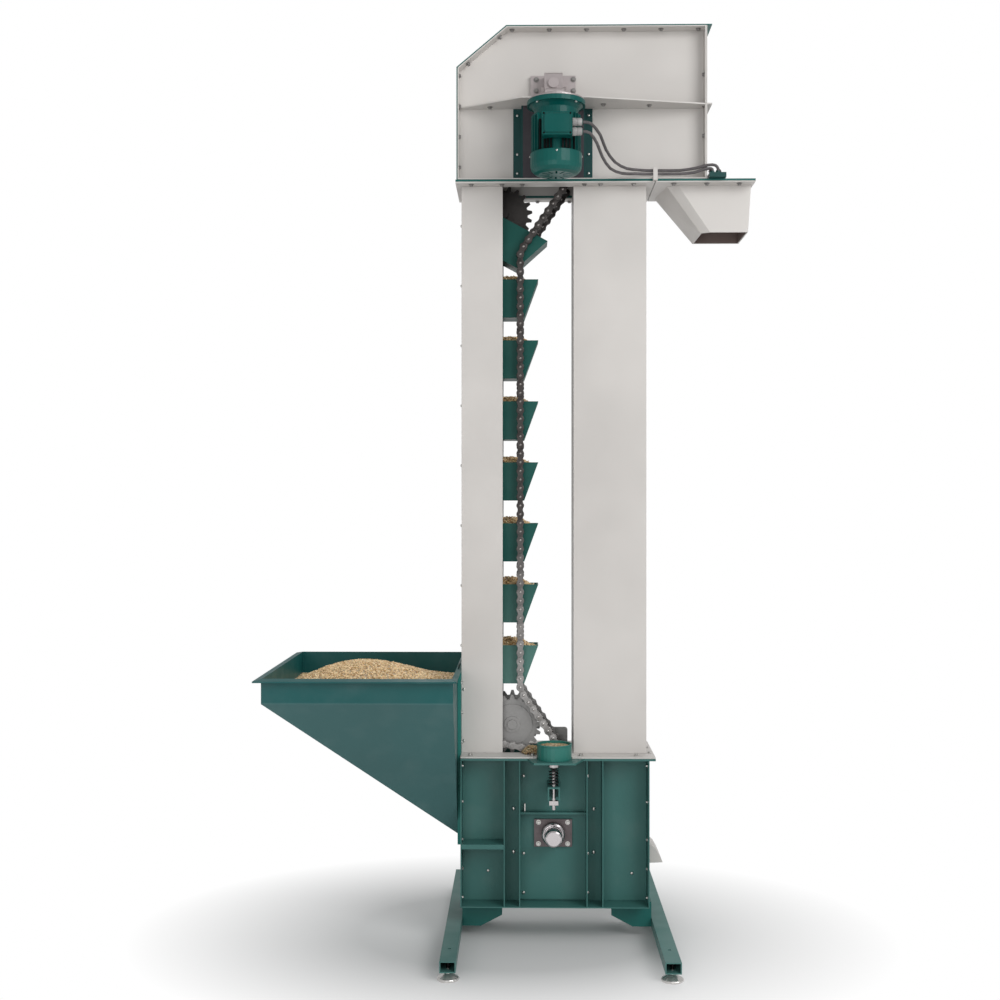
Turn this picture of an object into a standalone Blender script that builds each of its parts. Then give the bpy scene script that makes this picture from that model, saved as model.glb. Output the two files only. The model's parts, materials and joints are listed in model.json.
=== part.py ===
"""Bucket elevator: a grain elevator with a feed hopper, two casing legs, a drive head and a spout.

Metres, +Z up, +X towards the spout, +Y away from the side that carries the motor.
Every size below is measured from the tower's own axis; the root empty at the end shifts
the whole machine so that the middle of its footprint stands over the world's origin.
"""

import math

import bmesh
import bpy
from mathutils import Matrix, Vector

GAP = 0.0003                # fit between two pieces that touch
SHEET = 0.003               # casing sheet

# Casing and its levels
HALF_WIDTH = 0.275          # boot and legs, left and right of the axis
HALF_DEPTH = 0.090          # front and back panels
BOOT_BOTTOM = 0.106
BOOT_HEIGHT = 0.428
BOOT_FRONT_FLANGE = 0.070   # how far the boot's rim stands before its front panel
BACK_FLANGE = 0.030
PLATE = 0.006               # bolted joint plates
LEG_FLANGE = 0.004
LEG_HEIGHT = 1.678
LEFT_LEG_WIDTH = 0.122
RIGHT_LEG_WIDTH = 0.218
PLATE_OVERHANG = 0.018
LEG_INSET = 0.003           # right leg behind the boot's right wall
JOINT_WAY = 0.013           # rim left round the way through each joint plate

BOOT_TOP = BOOT_BOTTOM + BOOT_HEIGHT
BOOT_FRONT = -HALF_DEPTH - BOOT_FRONT_FLANGE
BACK_EDGE = HALF_DEPTH + BACK_FLANGE
LEG_BASE = BOOT_TOP + PLATE + LEG_FLANGE + 3 * GAP
LEG_TOP = LEG_BASE + LEG_HEIGHT
WINDOW_LEFT = -HALF_WIDTH + LEFT_LEG_WIDTH
WINDOW_RIGHT = HALF_WIDTH - RIGHT_LEG_WIDTH

# Head
HEAD_LEFT = -HALF_WIDTH - 0.013
HEAD_RIGHT = HALF_WIDTH + 0.171
HEAD_LIP = 0.014            # cover and shelf past the right wall
HEAD_HEIGHT = 0.452
HEAD_CHAMFER = (0.146, 0.122)       # cut corner, along X and along Z
HEAD_FRONT_FLANGE = 0.043
SPOUT_START = HALF_WIDTH + 0.038      # its raked wall at the top
SPOUT_END = HALF_WIDTH + 0.312
HEAD_BASE = LEG_TOP + LEG_FLANGE + PLATE + 3 * GAP
HEAD_TOP = HEAD_BASE + HEAD_HEIGHT
HEAD_FRONT = -HALF_DEPTH - HEAD_FRONT_FLANGE
SHELF_LEVEL = HEAD_BASE + 0.217

# Base frame
TUBE_WIDTH = 0.044
TUBE_HEIGHT = 0.031
TUBE_LENGTH = 0.908
TUBE_WALL = 0.003
TUBE_BOTTOM = 0.027
TUBE_CENTRE_Y = -0.026
TUBE_LEFT = -HALF_WIDTH - 0.020      # centre lines of the two tubes
TUBE_RIGHT = HALF_WIDTH + 0.034
FOOT_INSET = 0.030                  # levelling foot from the tube's end

# Hopper
HOPPER_LENGTH = 0.532
HOPPER_DEPTH = 0.692
HOPPER_CENTRE_Y = -0.020
HOPPER_RIM = 0.793
HOPPER_BAND = 0.065                 # upright band under the rim
HOPPER_RIM_WIDTH = 0.021
HOPPER_OUTLET = 0.305
HOPPER_SHEET = 0.004
HOPPER_FRAME = 0.010

# Chain, buckets and guide sprockets
CHAIN_PITCH = 0.0261
CHAIN_OUTER = 0.024                 # width over the outer plates
CHAIN_INNER = 0.015
CHAIN_PLATE = 0.0235                # height of a link plate
CHAIN_CENTRE_Y = 0.066              # the two strands, front and back
RUN_X = WINDOW_LEFT + 0.052
RUN_BOTTOM = 0.727
RUN_TOP = 2.034
RETURN_X = HALF_WIDTH - 0.075
LINKS_PER_BUCKET = 7
BUCKET_COUNT = 7
TOP_BUCKET = 1.955
BUCKET_HEIGHT = 0.1145
BUCKET_HALF_LENGTH = 0.046
BUCKET_SHEET = 0.0025
SPROCKET_TEETH = 20
SPROCKET_TIP = 0.088
SPROCKET_DISC = 0.060               # plain face on the toothed wheel
LOWER_GUIDE = (RUN_X - 0.024, 0.624)
UPPER_GUIDE = (RUN_X - 0.051, 2.168)

# Drive
SHAFT_X = -0.004
BOOT_SHAFT = 0.311
SCREW_Y = -0.185                    # take-up screw, before the boot's front
SPRING_SEAT = 0.466
CUP_X = -0.0015
CUP_RADIUS = 0.0512
HEAD_SHAFT = HEAD_BASE + 0.272
MOTOR_X = 0.001
MOTOR_Y = -0.262
MOTOR_TOP = HEAD_BASE + 0.1865
COWL_BOTTOM = HEAD_BASE - 0.0205
MOTOR_FLANGE_RADIUS = 0.0825
MOTOR_BODY_RADIUS = 0.0625
COWL_RADIUS = 0.0735
CABLE_RADIUS = 0.00425

PAINT = {
    "green": ((0.028, 0.125, 0.105), 0.42, 0.0),
    "cream": ((0.62, 0.60, 0.575), 0.5, 0.0),
    "steel": ((0.42, 0.40, 0.39), 0.32, 0.9),
    "chain": ((0.10, 0.085, 0.08), 0.45, 0.8),
    "black": ((0.012, 0.012, 0.014), 0.5, 0.0),
    "motor": ((0.008, 0.135, 0.10), 0.35, 0.0),
    "grey": ((0.09, 0.08, 0.09), 0.55, 0.0),
}


def clear_scene():
    for item in list(bpy.data.objects):
        bpy.data.objects.remove(item, do_unlink=True)


def paint(name, kind):
    """A material of its own for one sub-part."""
    colour, roughness, metallic = PAINT[kind]
    material = bpy.data.materials.new(name + "_finish")
    material.use_nodes = True
    shader = material.node_tree.nodes["Principled BSDF"]
    shader.inputs["Base Color"].default_value = (*colour, 1.0)
    shader.inputs["Roughness"].default_value = roughness
    shader.inputs["Metallic"].default_value = metallic
    return material


def add(name, shape, kind=None, smooth=False):
    """Put a bmesh into the scene as an object."""
    bmesh.ops.recalc_face_normals(shape, faces=shape.faces)
    mesh = bpy.data.meshes.new(name)
    shape.to_mesh(mesh)
    shape.free()
    for face in mesh.polygons:
        face.use_smooth = smooth
    item = bpy.data.objects.new(name, mesh)
    bpy.context.collection.objects.link(item)
    if kind:
        mesh.materials.append(paint(name, kind))
    return item


def prism(outline, start, end, axis="Y"):
    """Extrude a closed outline along X, Y or Z."""
    place = {
        "X": lambda a, b, c: (c, a, b),
        "Y": lambda a, b, c: (a, c, b),
        "Z": lambda a, b, c: (a, b, c),
    }[axis]
    shape = bmesh.new()
    lower = [shape.verts.new(place(a, b, start)) for a, b in outline]
    upper = [shape.verts.new(place(a, b, end)) for a, b in outline]
    shape.faces.new(lower)
    shape.faces.new(upper[::-1])
    count = len(outline)
    for i in range(count):
        j = (i + 1) % count
        shape.faces.new((lower[j], lower[i], upper[i], upper[j]))
    return shape


def block(x0, x1, y0, y1, z0, z1):
    return prism([(x0, y0), (x1, y0), (x1, y1), (x0, y1)], z0, z1, "Z")


def inset(outline, distance):
    """Move every side of a convex outline inwards."""
    middle = sum((Vector(p) for p in outline), Vector((0.0, 0.0))) / len(outline)
    lines = []
    for one, two in zip(outline, outline[1:] + outline[:1]):
        one, two = Vector(one), Vector(two)
        normal = Vector((one.y - two.y, two.x - one.x)).normalized()
        if normal.dot(middle - one) < 0:
            normal = -normal
        lines.append((one + normal * distance, two + normal * distance))
    corners = []
    for before, after in zip(lines[-1:] + lines[:-1], lines):
        corners.append(crossing(before, after))
    return [(p.x, p.y) for p in corners]


def crossing(one, two):
    """Where two endless lines meet."""
    a, b = one
    c, d = two
    along, other = b - a, d - c
    share = (c - a).cross(other) / along.cross(other)
    return a + along * share


def loft(levels):
    """Closed skin through outlines at their heights, the last joined to the first."""
    shape = bmesh.new()
    rings = [[shape.verts.new((*p, z)) for p in outline] for outline, z in levels]
    for one, two in zip(rings, rings[1:] + rings[:1]):
        for i in range(len(one)):
            j = (i + 1) % len(one)
            shape.faces.new((one[i], one[j], two[j], two[i]))
    return shape


def pierced(outline, holes, start, end):
    """Flat plate in the XZ plane with holes, extruded along Y."""
    shape = bmesh.new()
    edges = []
    for loop in [outline] + holes:
        corners = [shape.verts.new((a, start, b)) for a, b in loop]
        edges += [shape.edges.new((corners[i], corners[(i + 1) % len(corners)])) for i in range(len(corners))]
    bmesh.ops.triangle_fill(shape, edges=edges, use_dissolve=False, use_beauty=True, normal=(0, -1, 0))
    made = bmesh.ops.extrude_face_region(shape, geom=list(shape.faces))
    moved = [item for item in made["geom"] if isinstance(item, bmesh.types.BMVert)]
    bmesh.ops.translate(shape, verts=moved, vec=(0.0, end - start, 0.0))
    return shape


def revolve(profile, centre, axis="Z", segments=24):
    """Turn (radius, height) points, closed on the axis, about X, Y or Z through centre."""
    place = {
        "X": lambda r, h, a: (h, r * math.cos(a), r * math.sin(a)),
        "Y": lambda r, h, a: (r * math.cos(a), h, r * math.sin(a)),
        "Z": lambda r, h, a: (r * math.cos(a), r * math.sin(a), h),
    }[axis]
    shape = bmesh.new()
    rings = []
    for radius, height in profile:
        if radius == 0.0:
            rings.append([shape.verts.new(Vector(place(0.0, height, 0.0)) + Vector(centre))])
            continue
        ring = []
        for i in range(segments):
            angle = 2 * math.pi * i / segments
            ring.append(shape.verts.new(Vector(place(radius, height, angle)) + Vector(centre)))
        rings.append(ring)
    closed = profile[0][0] > 0.0
    pairs = list(zip(rings, rings[1:]))
    if closed:
        pairs.append((rings[-1], rings[0]))
    for one, two in pairs:
        for i in range(segments):
            j = (i + 1) % segments
            corners = [one[i % len(one)], one[j % len(one)], two[j % len(two)], two[i % len(two)]]
            corners = list(dict.fromkeys(corners))
            shape.faces.new(corners)
    return shape


def rod(radius, start, end, centre, axis="Z", segments=16):
    """A solid round bar: start and end are measured along the axis from centre."""
    return revolve([(0.0, start), (radius, start), (radius, end), (0.0, end)], centre, axis, segments)


def combine(target, shapes, operation):
    """Join or cut the target with every bmesh in shapes, one exact Boolean for each."""
    for shape in shapes:
        tool = add("tool", shape)
        step = target.modifiers.new("step", "BOOLEAN")
        step.operation = operation
        step.solver = "EXACT"
        step.object = tool
        graph = bpy.context.evaluated_depsgraph_get()
        result = bpy.data.meshes.new_from_object(target.evaluated_get(graph))
        target.modifiers.clear()
        result.materials.clear()
        for material in target.data.materials:
            result.materials.append(material)
        target.data = result
        bpy.data.objects.remove(tool, do_unlink=True)
    return target


def cut(target, *shapes):
    return combine(target, shapes, "DIFFERENCE")


def join(target, *shapes):
    return combine(target, shapes, "UNION")


def thicken(item, thickness):
    """Give an open sheet its thickness, inwards from its outer skin."""
    mesh = item.data
    middle = sum((vertex.co for vertex in mesh.vertices), Vector()) / len(mesh.vertices)
    walls = [face for face in mesh.polygons if abs(face.normal.z) < 0.9]
    facing = sum(face.normal.dot(face.center - middle) * face.area for face in walls)
    if facing < 0:
        mesh.flip_normals()
    step = item.modifiers.new("sheet", "SOLIDIFY")
    step.thickness = thickness
    step.offset = -1.0
    step.use_even_offset = True
    graph = bpy.context.evaluated_depsgraph_get()
    result = bpy.data.meshes.new_from_object(item.evaluated_get(graph))
    item.modifiers.clear()
    item.data = result
    return item


def base_frame():
    """Two floor tubes with open ends, on four levelling feet."""
    start = TUBE_CENTRE_Y - TUBE_LENGTH / 2
    end = TUBE_CENTRE_Y + TUBE_LENGTH / 2
    top = TUBE_BOTTOM + TUBE_HEIGHT
    for side, x in (("left", TUBE_LEFT), ("right", TUBE_RIGHT)):
        half = TUBE_WIDTH / 2
        tube = add("base_tube_" + side, block(x - half, x + half, start, end, TUBE_BOTTOM, top), "green")
        inner = half - TUBE_WALL
        bore = block(x - inner, x + inner, start - 0.01, end + 0.01, TUBE_BOTTOM + TUBE_WALL, top - TUBE_WALL)
        holes = [bore]
        for y in (start + FOOT_INSET, end - FOOT_INSET):
            holes.append(rod(0.006, TUBE_BOTTOM - 0.01, TUBE_BOTTOM + 0.01, (x, y, 0.0), segments=12))
        for y in (start + 0.105, end - 0.105):
            holes.append(rod(0.005, top - 0.01, top + 0.01, (x, y, 0.0), segments=12))
        cut(tube, *holes)
        for end_name, y in (("front", start + FOOT_INSET), ("back", end - FOOT_INSET)):
            levelling_foot("foot_{}_{}".format(end_name, side), x, y)


def levelling_foot(name, x, y):
    """A coned pad, its ball neck and the stem."""
    profile = [
        (0.0, 0.0), (0.0285, 0.0), (0.0305, 0.0018), (0.0305, 0.0050), (0.0290, 0.0070), (0.0140, 0.0155),
        (0.0095, 0.0190), (0.0090, 0.0225), (0.0050, 0.0235), (0.0050, 0.047), (0.0, 0.047),
    ]
    add(name, revolve(profile, (x, y, 0.0), segments=18), "steel", smooth=True)


def gussets():
    """Folded plates that hang the boot between the floor tubes."""
    inner_left = TUBE_LEFT + TUBE_WIDTH / 2 + GAP
    inner_right = TUBE_RIGHT - TUBE_WIDTH / 2 - GAP
    top = BOOT_BOTTOM - GAP
    low = TUBE_BOTTOM + 0.005
    for side, edge, inward in (("left", inner_left, 1), ("right", inner_right, -1)):
        outline = [(edge, low), (edge + inward * 0.055, low), (edge + inward * 0.118, 0.065),
                   (edge + inward * 0.119, top), (edge, top)]
        lip = [edge, edge + inward * 0.119]
        for end_name, y in (("front", -HALF_DEPTH), ("back", HALF_DEPTH)):
            turn = 1 if y < 0 else -1
            near, far = sorted((y, y + turn * 0.005))
            plate = add("gusset_{}_{}".format(end_name, side), prism(outline, near, far), "green")
            near, far = sorted((y + turn * 0.004, y + turn * 0.045))
            join(plate, block(min(lip), max(lip), near, far, top - 0.005, top))


def boot():
    """The sheet box at the foot: side walls, floor, recessed panels and the front ribs."""
    z0, z1 = BOOT_BOTTOM, BOOT_TOP
    inside = HALF_WIDTH - SHEET
    left = add("boot_left_wall", block(-HALF_WIDTH, -inside, BOOT_FRONT, BACK_EDGE, z0, z1), "green")
    cut(left, block(-HALF_WIDTH - 0.02, -inside + 0.02, -0.078, 0.078, HOPPER_OUTLET + 0.006, BOOT_TOP - 0.03))
    right = add("boot_right_wall", block(inside, HALF_WIDTH, BOOT_FRONT, BACK_EDGE, z0, z1), "green")
    cut(right, block(inside - 0.02, HALF_WIDTH + 0.02, -0.055, 0.055, 0.216, 0.260))
    wide = inside - GAP
    add("boot_floor", block(-wide, wide, BOOT_FRONT, BACK_EDGE, z0, z0 + SHEET), "green")
    low = z0 + SHEET + GAP
    high = z1 - GAP
    front = add("boot_front_panel", block(-wide, wide, -HALF_DEPTH, -HALF_DEPTH + SHEET, low, high), "green")
    cut(front, rod(0.022, -0.2, 0.0, (SHAFT_X, 0.0, BOOT_SHAFT), "Y"))
    add("boot_back_panel", block(-wide, wide, HALF_DEPTH - SHEET, HALF_DEPTH, low, high), "green")
    boot_ribs(low, high, wide)
    top_plate()
    cleanout()


def boot_ribs(low, high, wide):
    """Take-up panel welded between two upright channels, its screw bracket and the short shelf."""
    back = -HALF_DEPTH - GAP
    channels = []
    for x0, x1 in ((-0.149, -0.101), (0.092, 0.141)):
        outline = [(x0, BOOT_FRONT), (x0 + SHEET, BOOT_FRONT), (x0 + SHEET, back - SHEET),
                   (x1 - SHEET, back - SHEET), (x1 - SHEET, BOOT_FRONT), (x1, BOOT_FRONT),
                   (x1, back), (x0, back)]
        channels.append(prism(outline, low, high, "Z"))
    x0, x1 = -0.101 - SHEET / 2, 0.092 + SHEET / 2
    fold = 0.3745
    slope = 0.006
    outline = [(back, low + 0.004), (back - 0.004, low + 0.004), (back - 0.004, fold - slope),
               (back - 0.026, fold - slope), (back - 0.026, fold), (back - 0.004, fold),
               (back - 0.004, high - 0.006), (back, high - 0.006)]
    panel = add("take_up_panel", prism(outline, x0, x1, "X"), "green")
    join(panel, *channels)
    x, y = SHAFT_X, SCREW_Y
    join(panel, block(x - 0.018, x + 0.018, y - 0.016, back - 0.002, 0.428, SPRING_SEAT))
    cut(panel,
        rod(0.022, -0.2, 0.0, (x, 0.0, BOOT_SHAFT), "Y"),
        block(x - 0.013, x + 0.013, y - 0.02, y + 0.03, 0.42, SPRING_SEAT - 0.005),
        rod(0.0062, 0.42, 0.48, (x, y, 0.0)))
    shelf = 0.290
    outline = [(BOOT_FRONT, shelf - 0.014), (BOOT_FRONT + SHEET, shelf - 0.014),
               (BOOT_FRONT + SHEET, shelf - SHEET), (back, shelf - SHEET), (back, shelf),
               (BOOT_FRONT, shelf)]
    add("boot_shelf", prism(outline, -wide, -0.149 - GAP, "X"), "green")


def plate_outline(front, right):
    """Joint plate over the boot."""
    return [(-HALF_WIDTH, front), (right, front), (right, BACK_EDGE), (-HALF_WIDTH, BACK_EDGE)]


def top_plate():
    """Green plate that closes the boot, with the tongue that carries the take-up."""
    z0 = BOOT_TOP + GAP
    right = HALF_WIDTH + PLATE_OVERHANG
    outline = plate_outline(BOOT_FRONT, right)
    tongue = [(-0.079, BOOT_FRONT), (-0.062, -0.226), (0.058, -0.226), (0.082, BOOT_FRONT)]
    outline = outline[:1] + tongue + outline[1:]
    plate = add("boot_top_plate", prism(outline, z0, z0 + PLATE, "Z"), "green")
    left_way, right_way = -HALF_WIDTH + 0.060, HALF_WIDTH - JOINT_WAY
    cut(plate,
        block(left_way, right_way, -0.081, 0.081, z0 - 0.01, z0 + 0.02),
        rod(0.0065, z0 - 0.01, z0 + 0.02, (SHAFT_X, SCREW_Y, 0.0)))
    z1 = z0 + PLATE + GAP
    flange = add("leg_base_flange", prism(plate_outline(BOOT_FRONT + 0.002, right), z1, z1 + LEG_FLANGE, "Z"),
                 "cream")
    cup_seat = rod(CUP_RADIUS + 0.0008, z1 - 0.01, z1 + 0.02, (CUP_X, BOOT_FRONT, 0.0), segments=32)
    cut(flange,
        block(left_way, WINDOW_RIGHT - 0.006, -0.081, 0.081, z1 - 0.01, z1 + 0.02),
        block(WINDOW_RIGHT + 0.010, right_way, -0.081, 0.081, z1 - 0.01, z1 + 0.02),
        cup_seat)


def cleanout():
    """Small curved hood on the right wall, open below, over the clean-out slot."""
    wall = HALF_WIDTH + GAP
    outer = [(wall, 0.213), (wall + 0.048, 0.215), (wall + 0.040, 0.234), (wall + 0.029, 0.253),
             (wall + 0.015, 0.266), (wall, 0.270)]
    inner = [(wall - 0.01, 0.20), (wall + 0.046, 0.20), (wall + 0.0455, 0.2150), (wall + 0.038, 0.2328),
             (wall + 0.0275, 0.2511), (wall + 0.0140, 0.2638), (wall - 0.01, 0.2675)]
    hood = add("cleanout_hood", prism(outer, -0.062, 0.062), "cream")
    cut(hood, prism(inner, -0.060, 0.060))


def take_up():
    """Bearing plate with its shaft, and the spring-loaded screw above it."""
    face = -HALF_DEPTH - GAP - 0.004 - GAP
    plate = add("boot_bearing", block(SHAFT_X - 0.056, SHAFT_X + 0.056, face - 0.008, face,
                                      BOOT_SHAFT - 0.0405, BOOT_SHAFT + 0.0405), "steel")
    ring = [(0.0, 0.004), (0.034, 0.004), (0.033, -0.022), (0.029, -0.026), (0.0, -0.026)]
    join(plate, revolve(ring, (SHAFT_X, face - 0.0045, BOOT_SHAFT), "Y", 32))
    cut(plate, rod(0.0205, -0.2, 0.05, (SHAFT_X, 0.0, BOOT_SHAFT), "Y", 32))
    shaft = [(0.0, 0.086), (0.020, 0.086), (0.020, -0.1256), (0.0255, -0.1256), (0.0265, -0.1290),
             (0.0265, -0.168), (0.024, -0.178), (0.020, -0.181), (0.0, -0.181)]
    add("boot_shaft", revolve(shaft, (SHAFT_X, 0.0, BOOT_SHAFT), "Y", 24), "steel", smooth=True)
    take_up_screw()


def take_up_screw():
    """Rod with collar and tee, and its coil spring."""
    y = SCREW_Y
    seat = SPRING_SEAT
    top = BOOT_TOP - GAP
    x = SHAFT_X
    screw = add("take_up_screw", revolve(
        [(0.0, 0.398), (0.0055, 0.398), (0.0055, top - 0.022), (0.0150, top - 0.013),
         (0.0165, top - 0.011), (0.0165, top - 0.002), (0.0150, top), (0.0055, top),
         (0.0055, BOOT_TOP + PLATE + 0.0002), (0.0, BOOT_TOP + PLATE + 0.0002)],
        (x, y, 0.0), segments=16), "steel")
    join(screw, block(x - 0.0130, x + 0.0130, y - 0.007, y + 0.007, 0.4120, 0.4245))
    coils, wire, radius = 5, 0.0022, 0.0125
    low, high = seat + wire + 0.0005, top - 0.0185 - wire - 0.0005
    steps = coils * 12
    points = []
    for i in range(steps + 1):
        angle = 2 * math.pi * i / 12
        points.append((x + radius * math.cos(angle), y + radius * math.sin(angle),
                       low + (high - low) * i / steps))
    tube("take_up_spring", points, wire, "black", sides=6)


def tube(name, points, radius, kind, sides=8):
    """Sweep a round section along a list of points."""
    curve = bpy.data.curves.new(name, "CURVE")
    curve.dimensions = "3D"
    curve.bevel_depth = radius
    curve.bevel_resolution = max(0, (sides - 4) // 2)
    curve.use_fill_caps = True
    line = curve.splines.new("POLY")
    line.points.add(len(points) - 1)
    for spot, point in zip(line.points, points):
        spot.co = (*point, 1.0)
    path = bpy.data.objects.new(name + "_path", curve)
    bpy.context.collection.objects.link(path)
    graph = bpy.context.evaluated_depsgraph_get()
    mesh = bpy.data.meshes.new_from_object(path.evaluated_get(graph))
    bpy.data.objects.remove(path, do_unlink=True)
    shape = bmesh.new()
    shape.from_mesh(mesh)
    bmesh.ops.remove_doubles(shape, verts=shape.verts, dist=1e-6)
    return add(name, shape, kind, smooth=True)


def cup():
    """Round open cup that stands on the boot's tongue."""
    z = BOOT_TOP + PLATE + 2 * GAP
    side, wall = CUP_RADIUS - 0.0012, CUP_RADIUS - 0.0037
    profile = [(0.0, z), (side, z), (side, z + 0.040), (CUP_RADIUS, z + 0.041), (CUP_RADIUS, z + 0.045),
               (wall, z + 0.045), (wall, z + 0.004), (0.0, z + 0.004)]
    add("take_up_cup", revolve(profile, (CUP_X, BOOT_FRONT, 0.0), segments=28), "green", smooth=True)


def hopper():
    """Feed hopper: an upright band over a slanting trough that ends at the boot's wall."""
    right = -HALF_WIDTH - HOPPER_FRAME - 2 * GAP
    left = right - HOPPER_LENGTH
    front = HOPPER_CENTRE_Y - HOPPER_DEPTH / 2
    back = HOPPER_CENTRE_Y + HOPPER_DEPTH / 2
    band = HOPPER_RIM - HOPPER_BAND
    mouth = HALF_DEPTH
    rim = HOPPER_RIM_WIDTH
    shape = bmesh.new()

    def ring(x0, x1, y0, y1, z):
        return [shape.verts.new(p) for p in ((x0, y0, z), (x1, y0, z), (x1, y1, z), (x0, y1, z))]

    level = HOPPER_RIM - HOPPER_SHEET
    lip = ring(left - rim, right + 0.0102, front - rim, back + rim, level)
    upper = ring(left, right, front, back, level)
    lower = ring(left, right, front, back, band)
    for one, two in ((lip, upper), (upper, lower)):
        for i in range(4):
            j = (i + 1) % 4
            shape.faces.new((one[i], one[j], two[j], two[i]))
    toe = [shape.verts.new((right, -mouth, HOPPER_OUTLET)), shape.verts.new((right, mouth, HOPPER_OUTLET))]
    shape.faces.new((lower[0], lower[1], toe[0]))
    shape.faces.new((lower[1], lower[2], toe[1], toe[0]))
    shape.faces.new((lower[2], lower[3], toe[1]))
    shape.faces.new((lower[3], lower[0], toe[0], toe[1]))
    body = add("hopper_body", shape, "green")
    thicken(body, HOPPER_SHEET)
    cut(body,
        block(right + 0.0001, right + 0.1, -0.1213, 0.1213, HOPPER_RIM - 0.05, HOPPER_RIM + 0.05),
        block(right - 0.02, right + 0.02, -0.072, 0.072, HOPPER_OUTLET + 0.020, BOOT_TOP - 0.03))
    frame = add("hopper_frame", block(right + GAP, -HALF_WIDTH - GAP, -0.120, 0.120, 0.280, HOPPER_RIM - 0.006),
                "green")
    cut(frame, block(right - 0.1, -HALF_WIDTH + 0.05, -0.078, 0.078, HOPPER_OUTLET + 0.006, BOOT_TOP - 0.03))


def legs():
    """Left leg, open towards the window, and the closed return leg."""
    z0, z1 = LEG_BASE, LEG_TOP
    d, t = HALF_DEPTH, SHEET
    x0, x1 = -HALF_WIDTH, WINDOW_LEFT
    channel = [(x1, -d), (x1, -d + t), (x0 + t, -d + t), (x0 + t, d - t), (x1, d - t), (x1, d),
               (x0, d), (x0, -d)]
    add("left_leg", prism(channel, z0, z1, "Z"), "cream")
    x0, x1 = WINDOW_RIGHT, HALF_WIDTH - LEG_INSET
    duct = add("right_leg", block(x0, x1, -d, d, z0, z1), "cream")
    cut(duct, block(x0 + t, x1 - t, -d + t, d - t, z0 - 0.01, z1 + 0.01))


def chain_corners():
    """Corners (x, z, bend radius) of the closed loop, from the boot up the window."""
    over = 0.08
    inner_x = RETURN_X - 2 * over
    rise = (inner_x - RUN_X) / math.tan(math.radians(34.5))
    return inner_x, over, rise


def chain_point(distance, inner_x, rise):
    """Point on the open run: in from the boot, up the window and into the head."""
    slant = math.hypot(inner_x - RUN_X, rise)
    upright = RUN_TOP - RUN_BOTTOM
    if distance < slant:
        share = distance / slant
        return inner_x + (RUN_X - inner_x) * share, RUN_BOTTOM - rise + rise * share
    if distance < slant + upright:
        return RUN_X, RUN_BOTTOM + distance - slant
    share = (distance - slant - upright) / slant
    return RUN_X + (inner_x - RUN_X) * share, RUN_TOP + rise * share


def link_outline(one, two, height):
    """Waisted link plate round two pins."""
    axis = (Vector(two) - Vector(one)).normalized()
    across = Vector((-axis.y, axis.x))
    radius = height / 2
    outline = []
    for centre, start in ((Vector(two), -90), (Vector(one), 90)):
        for step in range(3):
            angle = math.radians(start + 30 + 60 * step)
            outline.append(centre + radius * 1.06 * (axis * math.cos(angle) + across * math.sin(angle)))
    middle = (Vector(one) + Vector(two)) / 2
    waist = radius * 0.74
    outline.insert(3, middle + across * waist)
    outline.append(middle - across * waist)
    return [(p.x, p.y) for p in outline]


def chains():
    """Two roller chains. Real links where the window shows them, a plain strand in the casings."""
    inner_x, over, rise = chain_corners()
    slant = math.hypot(inner_x - RUN_X, rise)
    total = 2 * slant + RUN_TOP - RUN_BOTTOM
    count = 2 * round(total / CHAIN_PITCH / 2)
    pitch = total / count
    pins = [chain_point(i * pitch, inner_x, rise) for i in range(count + 1)]
    for side, y in (("front", -CHAIN_CENTRE_Y), ("back", CHAIN_CENTRE_Y)):
        strand = add("chain_" + side, hidden_strand(y, pins[0], pins[-1], over), "chain")
        for first, width in ((0, CHAIN_OUTER), (1, CHAIN_INNER)):
            links = bmesh.new()
            for i in range(first, count, 2):
                piece = prism(link_outline(pins[i], pins[i + 1], CHAIN_PLATE), y - width / 2, y + width / 2)
                copy = bpy.data.meshes.new("link")
                piece.to_mesh(copy)
                piece.free()
                links.from_mesh(copy)
                bpy.data.meshes.remove(copy)
            join(strand, links)


def hidden_strand(y, start, end, over):
    """The loop's return: over the head wheel, down the right leg and round the boot wheel."""
    wheel_x = RETURN_X - over
    head_z, boot_z = 2.43, 0.385
    middle = []
    steps = 10
    middle.append(Vector(end))
    for i in range(steps + 1):
        angle = math.pi - math.pi * i / steps
        middle.append(Vector((wheel_x + over * math.cos(angle), head_z + over * math.sin(angle))))
    for i in range(steps + 1):
        angle = -math.pi * i / steps
        middle.append(Vector((wheel_x + over * math.cos(angle), boot_z + over * math.sin(angle))))
    middle.append(Vector(start))
    half = CHAIN_PLATE * 0.37
    left, right = [], []
    for i, point in enumerate(middle):
        before = middle[max(i - 1, 0)]
        after = middle[min(i + 1, len(middle) - 1)]
        along = (after - before).normalized()
        across = Vector((-along.y, along.x)) * half
        left.append(point + across)
        right.append(point - across)
    outline = [(p.x, p.y) for p in left + right[::-1]]
    width = CHAIN_INNER * 0.9
    return prism(outline, y - width / 2, y + width / 2)


def sprocket_outline(centre, teeth, tip, phase):
    """Toothed wheel with rounded gullets."""
    root = tip - 0.014
    outline = []
    for i in range(teeth):
        middle = phase + 2 * math.pi * i / teeth
        step = 2 * math.pi / teeth
        for share, radius in ((-0.34, root), (-0.13, tip), (0.13, tip), (0.34, root)):
            angle = middle + share * step
            outline.append((centre[0] + radius * math.cos(angle), centre[1] + radius * math.sin(angle)))
    return outline


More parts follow.
